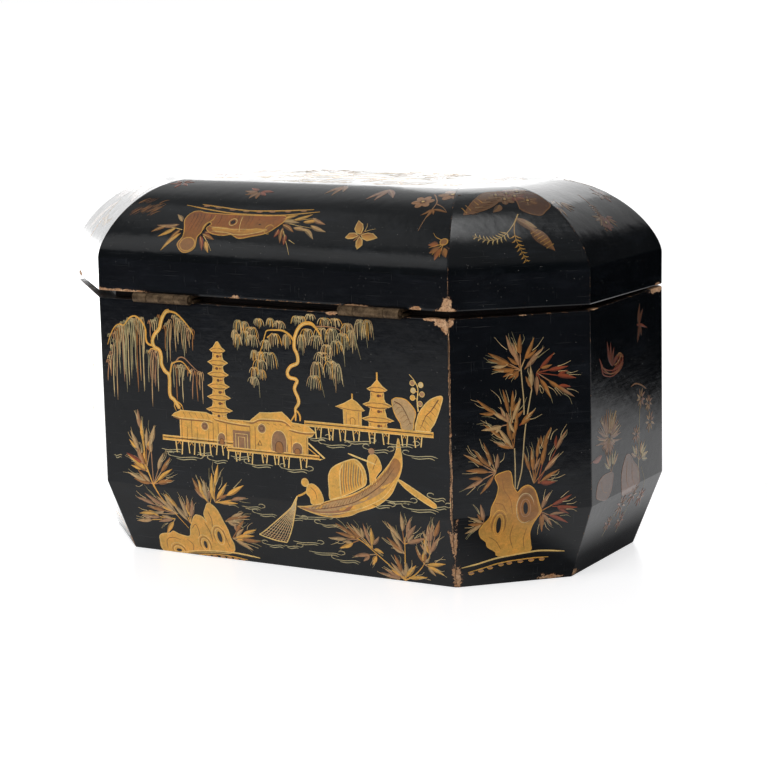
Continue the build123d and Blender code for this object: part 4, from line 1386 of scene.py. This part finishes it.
def bamboo_rock(ink):
    """The tall corner motif: a pierced rock on a terrace with bamboo in gold and red."""
    warm = [AMBER, SAND, TAN, OCHRE]
    red = [dimmed(RUST, 0.75), dimmed(TAN, 0.85), AMBER, dimmed(RUST, 0.85)]
    stems = [[(-3.5, 12), (-3.3, 22), (-3.5, 32)], [(-2.5, 12), (0, 21.5), (1.5, 37), (2.8, 46), (5.5, 60)],
             [(1.5, 48), (1.4, 56), (0.8, 63), (0.2, 71.5)]]
    ink.lines(stems, 0.64, dimmed(PALE, 0.76), "bar", 1)
    for origin, tips, tints in (
            ((0, 70), [(-16, 79), (-16, 76), (-7, 87), (-4, 83), (0, 87), (7, 85), (-14, 71), (-6, 66)],
             warm),
            ((2, 70), [(12, 80), (9, 76)], red),
            ((8, 68), [(17, 77), (24, 70), (28, 64), (27, 55), (15, 55), (8, 57), (22, 58)], red),
            ((5.5, 60), [(5, 71), (3, 66)], warm),
            ((-5, 44), [(-22, 57), (-9, 61), (-4, 60), (0, 56), (-20, 42), (-12, 50), (-16, 52)], warm),
            ((-1, 43), [(7, 50), (5, 46)], red),
            ((-4, 32), [(-12, 43), (-14, 36), (-19, 45), (-2, 50), (-12, 34), (-7, 46)], warm),
            ((-13, 21), [(-29, 31), (-19, 36), (-28, 23), (-12, 30), (-29, 14), (-21, 11), (-24, 33)],
             warm),
            ((-19, -4), [(-21, 6), (-27, -4), (-28, -9), (-26, 0)], warm),
            ((6, 14), [(5, 32), (9, 36), (15, 41), (19, 28), (1, 30)], warm),
            ((8, 14), [(23, 39), (19, 20), (17, 14), (13, 34)], red),
            ((9, 0), [(14, 9), (25, 7), (24, -8), (16, -9), (11, -12)], red),
            ((15, 2), [(28, 0.5)], red[:1])):
        fan(ink, origin, tips, tints, width=2.4)
    ink.patch([(-10, -24), (-12, -21), (-16, -18), (-17, -15), (-20, -12), (-21, -8), (-19.5, -5),
               (-16.5, -1), (-15.5, 4), (-13, 9), (-12, 14), (-13.5, 19), (-9, 21), (-6, 21), (-5, 18),
               (-4.5, 14), (-3, 11), (-2, 10.5), (0, 12.5), (3, 13.5), (6, 11.5), (7.5, 8), (8.5, 4),
               (9.5, 0), (8, -3), (6, -7), (5, -12), (6, -18), (6.5, -22), (2, -23.5)], AMBER, 2, True,
              GOLD, 0.4, GOLD)
    ink.patch([(-1, 9.6), (2.5, 12.4), (6, 10.4), (7.4, 5), (8.2, 0), (6, -4), (2.5, -5.5), (-1, -3),
               (-2.4, 4)], dimmed(OCHRE, 0.86), 3, foot=AMBER)
    rock_contours(ink, [(1.6, 2.3, 1.2, 3.0)], TAN)
    ink.ring((1.6, 2), 4.6, 7.6, 0.4, PALE, 4, 0.4, 5.6)
    rock_contours(ink, [(-11.5, -5.8, 1.2, 4.6)], GOLD)
    ink.lines([[(-10, 18), (-9, 12), (-6, 7), (-5, 0)], [(-4, -6), (-5, -13), (-3, -20)],
               [(3, -9), (2, -15), (3, -21)], [(-16, -12), (-12, -15), (-9, -20)],
               [(-14, 6), (-10, 5), (-8, 1)]], 0.4, OCHRE, "brush", 3)
    terrace(ink, [(-28, -29), (-20, -27.5), (-10, -25), (5, -23.3), (12, -23), (24, -24.5)],
            [(-24.5, -32), (-18, -30.5), (-8, -28), (5, -27), (16, -27)], 8)


def butterfly(ink, u, h, size, lean):
    """A butterfly seen from above, about 18 mm across at size 1 and leaning by degrees."""
    spot = ink.placed(*ink.spot((u, h)), ink.scale * size, math.degrees(ink.turn) + lean, ink.mirror < 0)
    for side in (-1, 1):
        spot.patch([(side * 0.2, 0.8), (side * 2.2, 3.6), (side * 5, 5.1), (side * 8.8, 5.0),
                    (side * 7.2, 2.6), (side * 5.6, 0.6), (side * 2.5, -0.2)], AMBER, 1, False,
                   BRIGHT, 0.45, GOLD)
        spot.patch([(side * 0.5, -0.5), (side * 3.4, -0.8), (side * 5.6, -2.6), (side * 5.2, -5.6),
                    (side * 3.4, -5.0), (side * 1.6, -3.4)], AMBER, 1, False, BRIGHT, 0.45, GOLD)
        for reach in (0.45, 0.75):
            spot.line([(side * 1.2, 1), (side * 6 * reach, 6.2 * reach + 0.6)], 0.36, OCHRE,
                      "strand", 3, False)
            spot.line([(side * 1.0, -0.8), (side * 4.6 * reach, -4.6 * reach)], 0.36, OCHRE,
                      "strand", 3, False)
        spot.line([(0, 3), (side * 1.6, 5.6), (side * 3.4, 7.4 + side * 0.4)], 0.3, BRIGHT, "strand", 1)
    spot.line([(0, -4.2), (0, 0), (0, 3.2)], 1.3, OCHRE, "leaf", 3)


def petals(ink, u, h, reach, count, width, tints, start=0.0, spread_by=FULL_TURN, inner=0.15):
    """Leaves about a middle, over all or part of a turn."""
    for index in range(count):
        a = start + spread_by * index / count + either(0.06)
        far = reach * hand.uniform(0.88, 1.08)
        leaf(ink, polar((u, h), reach * inner, a), polar((u, h), far, a), width, hand.choice(tints),
             either(0.06), 1, OCHRE)


def flower(ink, u, h, reach, tints):
    """A blossom of rounded petals with a dotted heart."""
    middle = (u, h)
    for index in range(6):
        a = FULL_TURN * index / 6 + 0.3
        ink.blob(polar(middle, reach * 0.55, a), reach * 0.5, reach * 0.34, tints[0], 1, a)
        vein = [polar(middle, reach * 0.3, a), polar(middle, reach * 0.95, a)]
        ink.line(vein, 0.34, tints[-1], "strand", 2, False)
    ink.blob(middle, reach * 0.3, reach * 0.3, BROWN, 3)
    ink.blob(middle, reach * 0.14, reach * 0.14, BRIGHT, 4)


def fern(ink, stem, leaflet, tint, first):
    """A stem with paired leaflets that shorten towards its tip, from the share first of its length on."""
    gap = 1.9
    ink.line(stem, 0.6, tint, "strand", 2)
    path = smooth_path([Vector(point) for point in stem])
    runs = 0.0
    for index in range(1, len(path) - 1):
        runs += (path[index] - path[index - 1]).length
        t = index / len(path)
        if runs < gap or t < first:
            continue
        runs = 0.0
        along = (path[index + 1] - path[index - 1]).normalized()
        across = Vector((-along.y, along.x))
        for side in (-1, 1):
            end = path[index] + (across * side * 0.9 + along * 0.55) * leaflet * (1.0 - 0.55 * t)
            ink.line([path[index], path[index].lerp(end, 0.5) + along * 0.4, end], 0.75, tint, "leaf", 2)


def spray(ink, origin, tips, tints, width=2.5):
    """Slender leaves on thin stalks."""
    spacing, last_turns, other_turns = 9, (0.45, -0.4, 0.0), (0.45, -0.45)
    origin = Vector(origin)
    for tip in tips:
        reach = Vector(tip) - origin
        ink.line([origin, origin + reach * 0.9], 0.5, TAN, "strand", 1, False)
        count = max(1, round(reach.length / spacing))
        for index in range(count):
            base = origin + reach * ((index + 0.2) / count)
            for turn in last_turns if index == count - 1 else other_turns:
                end = base + turned(reach.normalized(), turn) * hand.uniform(7.0, 9.5)
                leaf(ink, base.lerp(end, 0.15), end, width, hand.choice(tints), 0.05 * turn, 1, BRIGHT)


def lid_log(ink):
    """A hollow log with leaves, hung below a ledge: the lid is painted to be seen from the front."""
    tints = [GOLD, SAND, RUST, AMBER, TAN]
    for start, end in (
            ((-57, 37), (-70, 36)), ((-58, 35), (-67, 29.5)), ((-56, 39), (-61, 43.5)),
            ((-55, 34), (-60, 26)), ((-54, 32), (-63, 22)), ((-64, 36), (-72, 32)),
            ((-42, 31), (-38.5, 23)), ((-41, 32), (-33, 29)), ((-40, 33), (-34, 34)),
            ((-38, 28), (-34.5, 22)), ((1, 43), (9, 46.5)), ((2, 42), (12, 41.5)), ((8, 43), (17, 47.5)),
            ((3, 40), (11, 35.5)), ((4, 38), (5.5, 29)), ((2, 37), (1, 32)), ((10, 38), (18, 36.5)),
            ((14, 42), (23, 43.5)), ((19, 40), (29, 36.5)), ((16, 38), (23.5, 32)), ((18, 45), (27, 41)),
            ((7, 34), (8, 28))):
        leaf(ink, start, end, 2.6, hand.choice(tints), either(0.08), 1, BRIGHT)
    ink.lines([[(-54, 34), (-60, 35), (-66, 35)], [(1, 42), (10, 40), (20, 38.5)],
               [(2, 43), (12, 43.5), (20, 45)], [(5, 36), (8, 31), (10.5, 27), (12.5, 23)],
               [(-40, 31), (-36, 27), (-33, 23)], [(10, 31), (14, 29)]], 0.5, BRIGHT, "strand", 1)
    ink.patch([(-52, 46), (-49, 46.5), (-44, 45.5), (-30, 45), (-10, 45), (2, 45.5), (3, 42), (0, 38),
               (-3, 35), (-6, 33.5), (-12, 32), (-19, 30.5), (-24, 32.5), (-28, 31.8), (-33, 32), (-37, 33),
               (-40, 35.5), (-38, 38), (-40, 39.5), (-42, 37), (-42, 33), (-43.5, 30), (-43, 25),
               (-45, 22.5), (-49, 21.5), (-52, 23), (-54, 26), (-52, 30), (-53, 35), (-55, 40), (-54, 44)],
              UMBER, 2, True, GOLD, 0.6, AMBER)
    ink.blob((-48, 26), 4.2, 3.4, AMBER, 3)
    ink.ring((-48, 26), 4.4, 3.6, 0.6, GOLD, 4)
    ink.patch([(-20, 44), (-8, 44), (1, 44), (1.6, 42), (-2, 38), (-6, 36.6), (-14, 37), (-20, 36)], UMBER,
              3, foot=AMBER)
    ink.blob((-26, 40), 1.3, 1.3, DARK, 3)
    ink.ring((-26, 40), 2.2, 2.2, 0.45, BRIGHT, 3)
    ink.blob((-10, 39), 0.7, 0.6, DARK, 3)
    ink.ring((-3.5, 36.5), 2.4, 2.8, 0.5, GOLD, 3, 0.5, 5.4)
    ink.line([(-42, 33), (-41, 38), (-38.4, 41), (-38, 44)], 0.7, GOLD, "brush", 3)
    ink.patch([(-37, 36), (-30, 36.6), (-20, 35), (-10, 37), (-4, 36), (-7, 34.4), (-13, 33), (-19, 31.6),
               (-24, 33.6), (-28, 32.8), (-33, 33)], GOLD, 3, True, None, 0.4, AMBER)
    for index in range(26):
        u = -51 + index * 2.05
        ink.line([(u, 44.6), (u + 0.6, 41), (u - 0.2, 37.4 if u > -40 else 34)], 0.4,
                 hand.choice((BROWN, AMBER)), "strand", 3)
    ink.lines([[(-36, 34), (-28, 33.4), (-19, 32.4), (-9, 34.4), (-4, 37)],
               [(-38, 36.5), (-26, 35.6), (-12, 36.2)], [(-22, 44), (-21.4, 39), (-20, 34)]], 0.4,
              BRIGHT, "brush", 3)
    ink.line([(-59, 50.5), (-45, 48), (-30, 46), (-15, 45.5), (0, 46), (12, 48), (20, 49.5)], 0.8,
             GOLD, "brush", 3)
    ledge = [(-50, 51.5), (-38, 50), (-25, 48.5), (-15, 48.3), (0, 49.3), (16, 51)]
    ink.line(ledge, 0.8, GOLD, "brush", 3)
    for place in along_path(ledge, 8, 0.4):
        ink.blob((place.x, place.y - 0.7), 1.9, 0.6, TAN, 3)


def lid_back(ink):
    lid_log(ink)
    butterfly(ink, 48.6, 35.4, 1.0, -35)
    for _ in range(34):
        u, h = hand.uniform(-88, -74), hand.uniform(43, 54)
        ink.line([(u - 2.4, h - 1.8), (u, h + 0.6), (u + hand.uniform(1.5, 3), h + hand.uniform(1.5, 3.5))],
                 0.55, hand.choice((BROWN, OCHRE)), "leaf", 1)
    petals(ink, -24, 66, 8.5, 7, 3.0, [RUST, TAN, OCHRE], 2.6, 4.2)
    leaves(ink, (46, 75), [(40, 62), (45, 61), (54, 64)], 3.6, PINK, 0.03, 1, PALE)
    leaves(ink, (18, 80), [(14, 66), (19, 64), (23, 69)], 3.2, TAN, 0.03, 1, OCHRE)
    flower(ink, 72, 61.5, 5.6, [TAN, OCHRE])
    flower(ink, 83.5, 71, 7.0, [OCHRE, GOLD])
    ink.line([(74, 70), (77, 66), (80, 60), (79.6, 50), (79, 40)], 0.8, TAN, "strand", 2)
    ink.line([(80, 60), (85, 57), (89, 53)], 0.6, TAN, "strand", 2)
    leaves(ink, (80, 55), [(76, 50), (79.6, 48), (82.5, 51), (89, 53), (78, 53)], 1.8, OCHRE, 0.05, 2)
    petals(ink, 95, 33, 8.6, 5, 3.4, [UMBER, AMBER, OCHRE], 3.3, 3.0, 0.3)
    for turn in (3.5, 4.1, 4.7, 5.3, 5.9):
        ink.line([(95, 33), polar((95, 33), 7.4, turn)], 0.45, GOLD, "strand", 3, False)
    ink.blob((95, 34), 1.9, 1.7, OCHRE, 3)
    ink.ring((95, 34), 2.0, 1.8, 0.45, GOLD, 4)
    ink.line([(93.6, 35), (90, 36.5), (87.6, 39)], 0.4, GOLD, "strand", 2)
    petals(ink, -76, 74, 7.0, 6, 2.6, [RUST, TAN], 0.4)


def lid_corner(ink):
    """Hanging sprays and a peony on the lid's canted side."""
    fern(ink, [(6, 50), (1, 42), (-5, 36), (-12, 34), (-20, 37)], 4.4, BRIGHT, first=0.42)
    fern(ink, [(5, 48), (2, 42), (1, 34), (4, 22)], 4.4, GOLD, first=0.45)
    leaf(ink, (4, 47), (12, 37), 5.0, TAN, 0.05, 1, PALE)
    leaf(ink, (8, 45), (13, 40), 3.6, SAND, -0.1, 1, PALE)
    leaf(ink, (9.6, 40), (19, 27), 7.0, OCHRE, 0.0, 1)
    for index in range(6):
        t = 0.15 + index * 0.13
        u, h = 9.6 + 9.4 * t, 40 - 13 * t
        ink.line([(u - 2, h - 1.2), (u + 2, h + 1.0)], 0.4, GOLD, "bar", 2, False)
    ink.patch([(8, 54), (12, 50), (17, 48.5), (20, 51), (24, 56), (22, 63), (18, 70), (10, 72)], BROWN, 1,
              True, AMBER, 0.6)
    for tip in (
            (10, 53), (12, 51), (14.5, 50), (17, 49.5), (19.5, 52), (22, 55), (23, 58.5), (22, 62),
            (20, 66), (17, 69)):
        ink.line([(10, 68), tip], 0.6, hand.choice((GOLD, TAN, RUST)), "strand", 2, False)
    for index, (u, h) in enumerate(((3, 63), (9, 66), (14, 61), (6, 70), (12, 72), (0, 68))):
        flower(ink, u, h, 5.0, [dimmed(RUST, 0.8) if index % 2 else dimmed(OCHRE, 0.8), PALE])
    ink.patch([(-21, 51), (-14, 52.4), (-6, 56), (0, 62), (3, 71), (-4, 72), (-11, 65), (-17, 57)],
              dimmed(OCHRE, 0.82), 1, True, AMBER, 0.5)
    for index in range(8):
        t = index / 8
        u, h = -19 + 20 * t, 52 + 17 * t
        ink.line([(u, h), (u - 1.5, h + 4.6)], 0.7, hand.choice((GOLD, BROWN)), "strand", 2, False)
        ink.line([(u, h), (u + 4.2, h + 0.4)], 0.7, hand.choice((SAND, BROWN)), "strand", 2, False)
        ink.line([(u + 2, h - 1), (u + 5.4, h - 0.8)], 0.5, BROWN, "strand", 3, False)
    leaf(ink, (-1, 58), (-6, 52), 4.0, OCHRE, 0.1, 1, GOLD)
    petals(ink, -22, 71, 5.5, 5, 3.6, [OCHRE, TAN], 2.2)
    ink.line([(-30, 66), (-28, 60), (-26, 55)], 0.5, TAN, "strand", 1)
    leaf(ink, (-28, 60), (-24, 57), 2.0, TAN, 0.1, 1)


def lid_end(ink):
    fern(ink, [(4, 60), (1, 50), (-3, 42), (-8, 33)], 4.0, OCHRE, first=0.3)
    flower(ink, -2, 38, 5.0, [RUST, TAN])
    spray(ink, (0, 42), [(10, 36), (-12, 40)], [RUST, OCHRE, TAN], 2.4)
    petals(ink, 24, 56, 7.0, 6, 3.0, [RUST, OCHRE], 0.5)
    spray(ink, (-24, 60), [(-34, 50), (-20, 48)], [OCHRE, RUST], 2.4)


def end_scene(ink):
    """Insects over rocks with chrysanthemums, in dull reds, on the end of the body."""
    ink.line([(11, 81), (17, 80), (24, 77.6)], 1.6, RUST, "leaf", 2)
    leaves(ink, (14, 80.5), [(15, 91), (19, 88), (12, 72), (17, 74.6)], 3.2, BROWN, 0.06, 1, RUST)
    for offset in (0.0, 1.6, 3.2):
        ink.line([(-33 + offset, 71 - offset), (-29, 66 - offset), (-19, 63 - offset * 0.9),
                  (-9, 64 - offset * 0.7), (-5, 68 - offset)], 0.7, RUST, "brush", 2)
    leaves(ink, (-18, 65), [(-24, 78), (-20, 77), (-16, 74), (-8, 70)], 3.0, dimmed(RUST, 0.7),
           0.08, 1, RUST)
    for offset in (2.0, 4.0, 6.0, 8.0):
        ink.line([(-20 + offset, 62.4), (-15 + offset, 65), (-13 + offset * 0.9, 69)], 0.7,
                 RUST, "strand", 3)
    ink.line([(-19, 66), (-18, 71)], 1.6, BROWN, "leaf", 3)
    ink.line([(-31, 67), (-22, 62), (-12, 61.4), (-6, 65)], 0.6, AMBER, "brush", 3)
    ink.line([(-13, 69), (-9, 70), (-6, 67.4)], 1.0, AMBER, "brush", 3)
    ink.line([(-16, 65), (-11, 66), (-8, 69)], 0.8, AMBER, "brush", 3)
    petals(ink, -23, 29, 15.0, 26, 1.4, [TAN, SAND, PALE, dimmed(TAN, 0.7)], -0.1, 3.3, 0.25)
    petals(ink, -23, 29, 8.0, 12, 1.6, [TAN, dimmed(TAN, 0.6)], 3.2, 2.8, 0.2)
    petals(ink, -22, 31, 8.0, 14, 1.4, [PINK, SAND], 0.2)
    leaf(ink, (-31, 23), (-43, 22), 3.4, RUST, 0.08)
    ink.line([(4, 51), (10, 51.4), (17, 49.4), (23, 46.6)], 0.8, OCHRE, "brush", 1)
    ink.line([(12, 3), (13, 15), (14, 30), (15.5, 45)], 0.9, SAGE, "strand", 1)
    for u, h, reach in ((16, 43, 5.2), (25.5, 39, 4.6), (27, 29, 6.0), (10, 25.5, 5.0)):
        petals(ink, u, h, reach, 9, 1.5, [dimmed(TAN, 0.8), SAND, PINK], hand.uniform(0, 1), FULL_TURN, 0.2)
    spray(ink, (13, 12), [(22, 22), (4, 22), (24, 14)], [SAGE, TAN, PALE], 2.6)
    spray(ink, (-20, 12), [(-14, 24), (-26, 22)], [SAGE, SAGE, TAN], 2.4)
    shade, edge = dimmed(PINK, 0.45), dimmed(PINK, 0.8)
    ink.patch([(-8, 0), (-8, 8), (-5, 14), (-1, 17.4), (3, 16), (7, 12), (12, 8), (14, 1), (8, -3),
               (-4, -3)], shade, 1, True, edge, 0.5, dimmed(PINK, 0.7))
    ink.patch([(-38, 3), (-36, 9), (-31, 12), (-24, 12.6), (-18, 11), (-21, 3), (-28, 0)], shade, 1,
              True, edge, 0.5)
    ink.lines([[(-1, 14), (-2, 6), (0, 1)], [(5, 12), (5, 5), (8, 0)], [(-32, 10), (-30, 5), (-25, 3)]],
              0.6, OCHRE, "brush", 2)
    for u, h, reach in ((-2, -9, 6.5), (10, -6, 6.0), (22, -10, 5.5), (4, -19, 5.0), (-12, -17, 4.6)):
        petals(ink, u, h, reach, 8, 1.7, [PINK, TAN, RUST], hand.uniform(0, 1), FULL_TURN, 0.2)
    ink.lines([[(-14, -24), (-8, -14), (0, -4)], [(4, -26), (8, -14), (12, 0)],
               [(26, -16), (22, -4), (16, 8)]], 0.6, SAGE, "strand", 1)


# Which motifs lie on which face

tall_tiers = [(67, 6.0, 2.9), (61, 6.2, 3.1), (55, 6.5, 3.3), (49.3, 7.0, 3.6), (42.9, 7.9, 3.9)]
low_tiers = [(60, 5.6, 3.6), (52.3, 8.2, 3.9), (45.2, 9.0, 4.8)]


def tall_pagoda(ink):
    pagoda(ink, -29.8, tall_tiers, 40)


def tallest_pagoda(ink):
    pagoda(ink, -29.8, [(73.2, 4.6, 2.7)] + tall_tiers, 40)


def front_pagoda(ink):
    pagoda(ink, -29.8, [(67, 5.6, 2.9)] + tall_tiers[1:], 40)


def low_pagoda(ink):
    pagoda(ink, 61.6, low_tiers, 41.5)


def finial(ink):
    ink.line([(61.6, 64), (61.6, 68.4)], 1.0, GOLD, "bar", 2, False)


def paint(ink, *motifs):
    for motif in motifs:
        motif(ink)


def back_scene(ink):
    paint(ink, water, willow_left, willow_middle, tallest_pagoda, pavilions, pier, cottage, low_pagoda,
          finial, banana, boat, bamboo_low, rock_low, bamboo_right)


def front_scene(ink):
    flipped = ink.placed(mirror=True)
    paint(flipped, water, willow_left, front_pagoda, pavilions, pier, cottage, low_pagoda, banana)
    boat(ink.placed(-6, -1, 0.9))
    paint(flipped, bamboo_low, rock_low, bamboo_right)
    butterfly(ink, -24, 74, 0.7, 20)
    butterfly(ink, 20, 66, 0.6, -30)


def top_scene(ink):
    paint(ink.placed(0, 15, 0.55, 180), water, willow_left, willow_middle, pavilions, tall_pagoda, pier,
          cottage, banana, boat, rock_low, bamboo_low, bamboo_right)
    for side in (-1, 1):
        petals(ink, side * 76, -8, 9, 9, 3.4, [RUST, TAN, GOLD])
        flower(ink, side * 84, 10, 6, [GOLD, OCHRE])
        tips = [(side * 62, 22), (side * 74, 26), (side * 86, 20)]
        spray(ink, (side * 72, 6), tips, [GOLD, TAN, OCHRE, RUST])
        butterfly(ink, side * 66, -26, 0.8, side * 30)


def gild(face, scene, relief=1.0, **move):
    """Paints a scene on a face, in a piece that is named after the face."""
    side_name = "top" if face.side < 0 else sides[face.side]
    ink = Ink(face, ("lid_" if face.part == "lid" else "") + side_name + "_gilding", relief)
    scene(ink.placed(**move))
    ink.finish()


gild(body_faces[BACK], back_scene)
gild(body_faces[FRONT], front_scene)
# Side, whether mirrored, and relief; the gilding of the back right corner is rubbed thinner
for side, mirror, relief in ((BACK_LEFT, False, 1.0), (BACK_RIGHT, True, 0.2),
                             (FRONT_LEFT, True, 1.0), (FRONT_RIGHT, False, 1.0)):
    gild(body_faces[side], bamboo_rock, relief, mirror=mirror, strength=0.92)
    gild(lid_faces[side], lid_corner, relief, mirror=mirror, strength=0.4)
for side, mirror in ((LEFT, False), (RIGHT, True)):
    gild(body_faces[side], end_scene, mirror=mirror, strength=0.6)
    gild(lid_faces[side], lid_end, mirror=mirror, strength=0.3)
gild(lid_faces[BACK], lid_back, strength=0.62)
gild(lid_faces[FRONT], lid_back, h=85.0, turn=180, strength=0.62)
gild(TopFace(), top_scene, relief=0.3, strength=0.8)


# Floor, cards, lights, world and camera, in metres

def stage_sheet(name, verts, faces, material):
    mesh = bpy.data.meshes.new(name)
    mesh.from_pydata(verts, [], faces)
    mesh.materials.append(material)
    sheet = new_object(name, mesh)
    return sheet


def dark_card(name, points, height, shade):
    """A low card beside the table, seen only in reflections: a painted dark reflection, as of a dark room."""
    count = len(points)
    verts = [(x, y, z) for z in (0.0, height) for x, y in points]
    faces = [(k, k + 1, count + k + 1, count + k) for k in range(count - 1)]
    material = Graph.material(name).finish(colour=(shade, shade, shade * 1.2), rough=0.9, specular=0.0)
    card = stage_sheet(name, verts, faces, material)
    for kind in ("camera", "diffuse", "shadow", "transmission"):
        setattr(card, "visible_" + kind, False)


def floor_material():
    """A pale table, evenly white to the eye. In reflections only, it has a painted glow behind and beside the box,
    and painted shade beneath its edge and further off.
    """
    seen_level, least_painted_shine, painted_glow_behind_level, painted_glow_beside_level = 0.62, 0.12, 0.34, 1.5
    table_colour, shaded_colour = (0.55, 0.55, 0.555), (0.19, 0.19, 0.195)
    g = Graph.material("pale_floor")
    path = g.add("LightPath")
    seen = g.math("MAXIMUM", path.outputs["Is Camera Ray"], path.outputs["Is Transmission Ray"])
    shine = path.outputs["Is Glossy Ray"]
    split = g.add("SeparateXYZ", {0: g.place()})
    x, y = split.outputs["X"], split.outputs["Y"]
    clear = g.math("MAXIMUM", g.ramp(x, -0.138, -0.150), g.ramp(y, -0.080, -0.092))
    # Glossy rays only: a painted glow on the table behind and beside the box.
    behind = g.times(g.times(clear, g.ramp(y, 0.10, 0.0)), painted_glow_behind_level)
    beside = g.times(g.times(g.ramp(x, 0.09, 0.20), g.ramp(y, 0.09, 0.02)), painted_glow_beside_level)
    # Painted shade for reflections: a contact shadow beside the box's left end and a dark area further off.
    painted_contact_shade = g.times(g.ramp(x, -0.156, -0.144), g.ramp(x, -0.10, -0.13))
    far = g.times(g.ramp(y, -0.29, -0.42), g.ramp(x, 0.05, -0.05))
    dark = g.math("MAXIMUM", painted_contact_shade, far)
    emission_with_painted_glow = g.total(least_painted_shine, g.math("MAXIMUM", behind, beside))
    emission_with_painted_glow = g.times(emission_with_painted_glow, g.math("SUBTRACT", 1.0, dark))
    emission_with_painted_glow = g.total(g.times(seen, seen_level), g.times(shine, emission_with_painted_glow))
    # In reflections the table's colour is also darkened there: painted shade.
    pale = g.mix(g.times(shine, dark), table_colour, shaded_colour)
    g.feed(g.skin.inputs["Emission Color"], (1.0, 1.0, 1.0))
    g.feed(g.skin.inputs["Emission Strength"], emission_with_painted_glow)
    return g.finish(colour=pale, rough=0.3, specular=0.3)


def room_world():
    """A white room to the eye and even soft light for shading; in reflections only, a dimmer room with painted
    bright patches.
    """
    white, even_light, least_painted_shine = (1.0, 1.0, 1.0), (0.42, 0.42, 0.43), 0.02
    world = bpy.data.worlds.new("pale_room")
    bpy.context.scene.world = world
    g = Graph(world)
    path = g.add("LightPath")
    direction = g.add("TexCoord").outputs["Generated"]

    def toward(x, y, z, low, high, strength):
        facing = g.add("VectorMath", {0: direction, 1: (x, y, z)}, operation="DOT_PRODUCT").outputs["Value"]
        return g.ramp(facing, low, high, 0.0, strength)

    # Painted reflections: bright patches of the room seen only by glossy rays; the diffuse light stays even.
    room = g.total(toward(0.50, 0.86, 0.0, 0.2, 0.9, 0.05), toward(0.0, 0.0, 1.0, 0.50, 0.62, 0.17))
    painted_backdrop_reflection = toward(0.62, -0.78, 0.10, 0.70, 0.95, 0.6)
    shine = g.total(g.total(room, painted_backdrop_reflection), least_painted_shine)
    seen = g.math("MAXIMUM", path.outputs["Is Camera Ray"], path.outputs["Is Transmission Ray"])
    lit = g.mix(path.outputs["Is Glossy Ray"], even_light, shine)
    g.feed(g.tree.nodes["Background"].inputs["Color"], g.mix(seen, lit, white))


def lamp(name, kind, place, target, energy, shine, **settings):
    data = bpy.data.lights.new(name, kind)
    data.energy = energy
    for key, value in settings.items():
        setattr(data, key, value)
    item = new_object(name, data)
    item.location = place
    item.rotation_euler = (Vector(target) - Vector(place)).to_track_quat("-Z", "Y").to_euler()
    item.visible_camera = False
    item.visible_glossy = shine


def softbox(name, place, target, wide, tall, level):
    """A softbox whose own surface has the given brightness, where 1 is white."""
    energy = level * math.pi * wide * tall
    lamp(name, "AREA", place, target, energy, True, shape="RECTANGLE", size=wide, size_y=tall)


floor_reach = 9.0
floor_corners = [(x * floor_reach, y * floor_reach, 0) for x, y in ((-1, -1), (1, -1), (1, 1), (-1, 1))]
stage_sheet("floor", floor_corners, [(0, 1, 2, 3)], floor_material())
# Cards seen only in reflections, painting darker bands into the lacquer's reflections.
near_line = [(-0.52, -0.05), (-0.44, 0.08), (-0.36, 0.22), (-0.27, 0.36), (-0.16, 0.46)]
card_height = 0.17
dark_card("near_card", near_line, card_height, 0.115)
dark_card("far_card", [(-0.80, -0.422), (-0.05, -0.422)], card_height, 0.002)
dark_card("rear_card", [(0.05, 0.84), (0.30, 0.72), (0.60, 0.58)], card_height, 0.16)
room_world()
lamp("key_light", "SUN", (-0.3, 1.6, 1.3), (0.0, 0.0, 0.0), 1.9, False, angle=math.radians(70))
# Name, place, point it faces, width, height and level of each softbox
for values in (
        ("rear_softbox", (0.26, -0.95, 0.52), (0.0, 0.0, 0.17), 0.50, 0.38, 1.12),
        ("low_softbox", (0.60, -0.92, 0.24), (0.0, 0.0, 0.17), 0.62, 0.22, 1.6),
        ("dim_softbox", (-0.17, -0.95, 0.59), (-0.1, 0.0, 0.17), 0.32, 0.30, 0.38),
        ("right_softbox", (0.62, -0.24, 0.095), (0.1, 0.02, 0.095), 0.55, 0.19, 3.0),
        ("upper_right_softbox", (0.62, -0.24, 0.29), (0.1, 0.02, 0.29), 0.55, 0.19, 1.3),
        ("top_softbox", (-0.264, -0.100, 1.15), (-0.104, 0.067, 0.17), 0.61, 0.25, 0.85),
        ("top_middle_softbox", (-0.274, -0.110, 1.15), (-0.114, 0.057, 0.17), 0.43, 0.20, 1.0),
        ("top_core_softbox", (-0.244, -0.100, 1.15), (-0.084, 0.067, 0.17), 0.30, 0.12, 1.9),
        ("left_softbox", (0.62, 0.78, 0.86), (0.0, 0.08, 0.15), 0.6, 0.42, 0.62),
        ("roof_softbox", (0.65, 0.18, 1.18), (0.0, 0.08, 0.17), 0.8, 0.3, 0.24)):
    softbox(*values)

# Camera fitted to the photograph
camera_place = Vector((-0.63019, 1.07125, 0.31255))
camera_forward = Vector((0.49141, -0.85126, -0.18406))
camera_up = Vector((0.07079, -0.17160, 0.98262))
camera_data = bpy.data.cameras.new("camera")
camera_data.sensor_width = 36.0
camera_data.lens = 112.5
camera_data.clip_start = 0.01
camera = new_object("camera", camera_data)
camera_right = camera_forward.cross(camera_up)
turn = Matrix((camera_right, camera_up, -camera_forward)).transposed()
camera.matrix_world = Matrix.Translation(camera_place) @ turn.to_4x4()
bpy.context.scene.camera = camera
bpy.context.scene.view_settings.view_transform = "Standard"
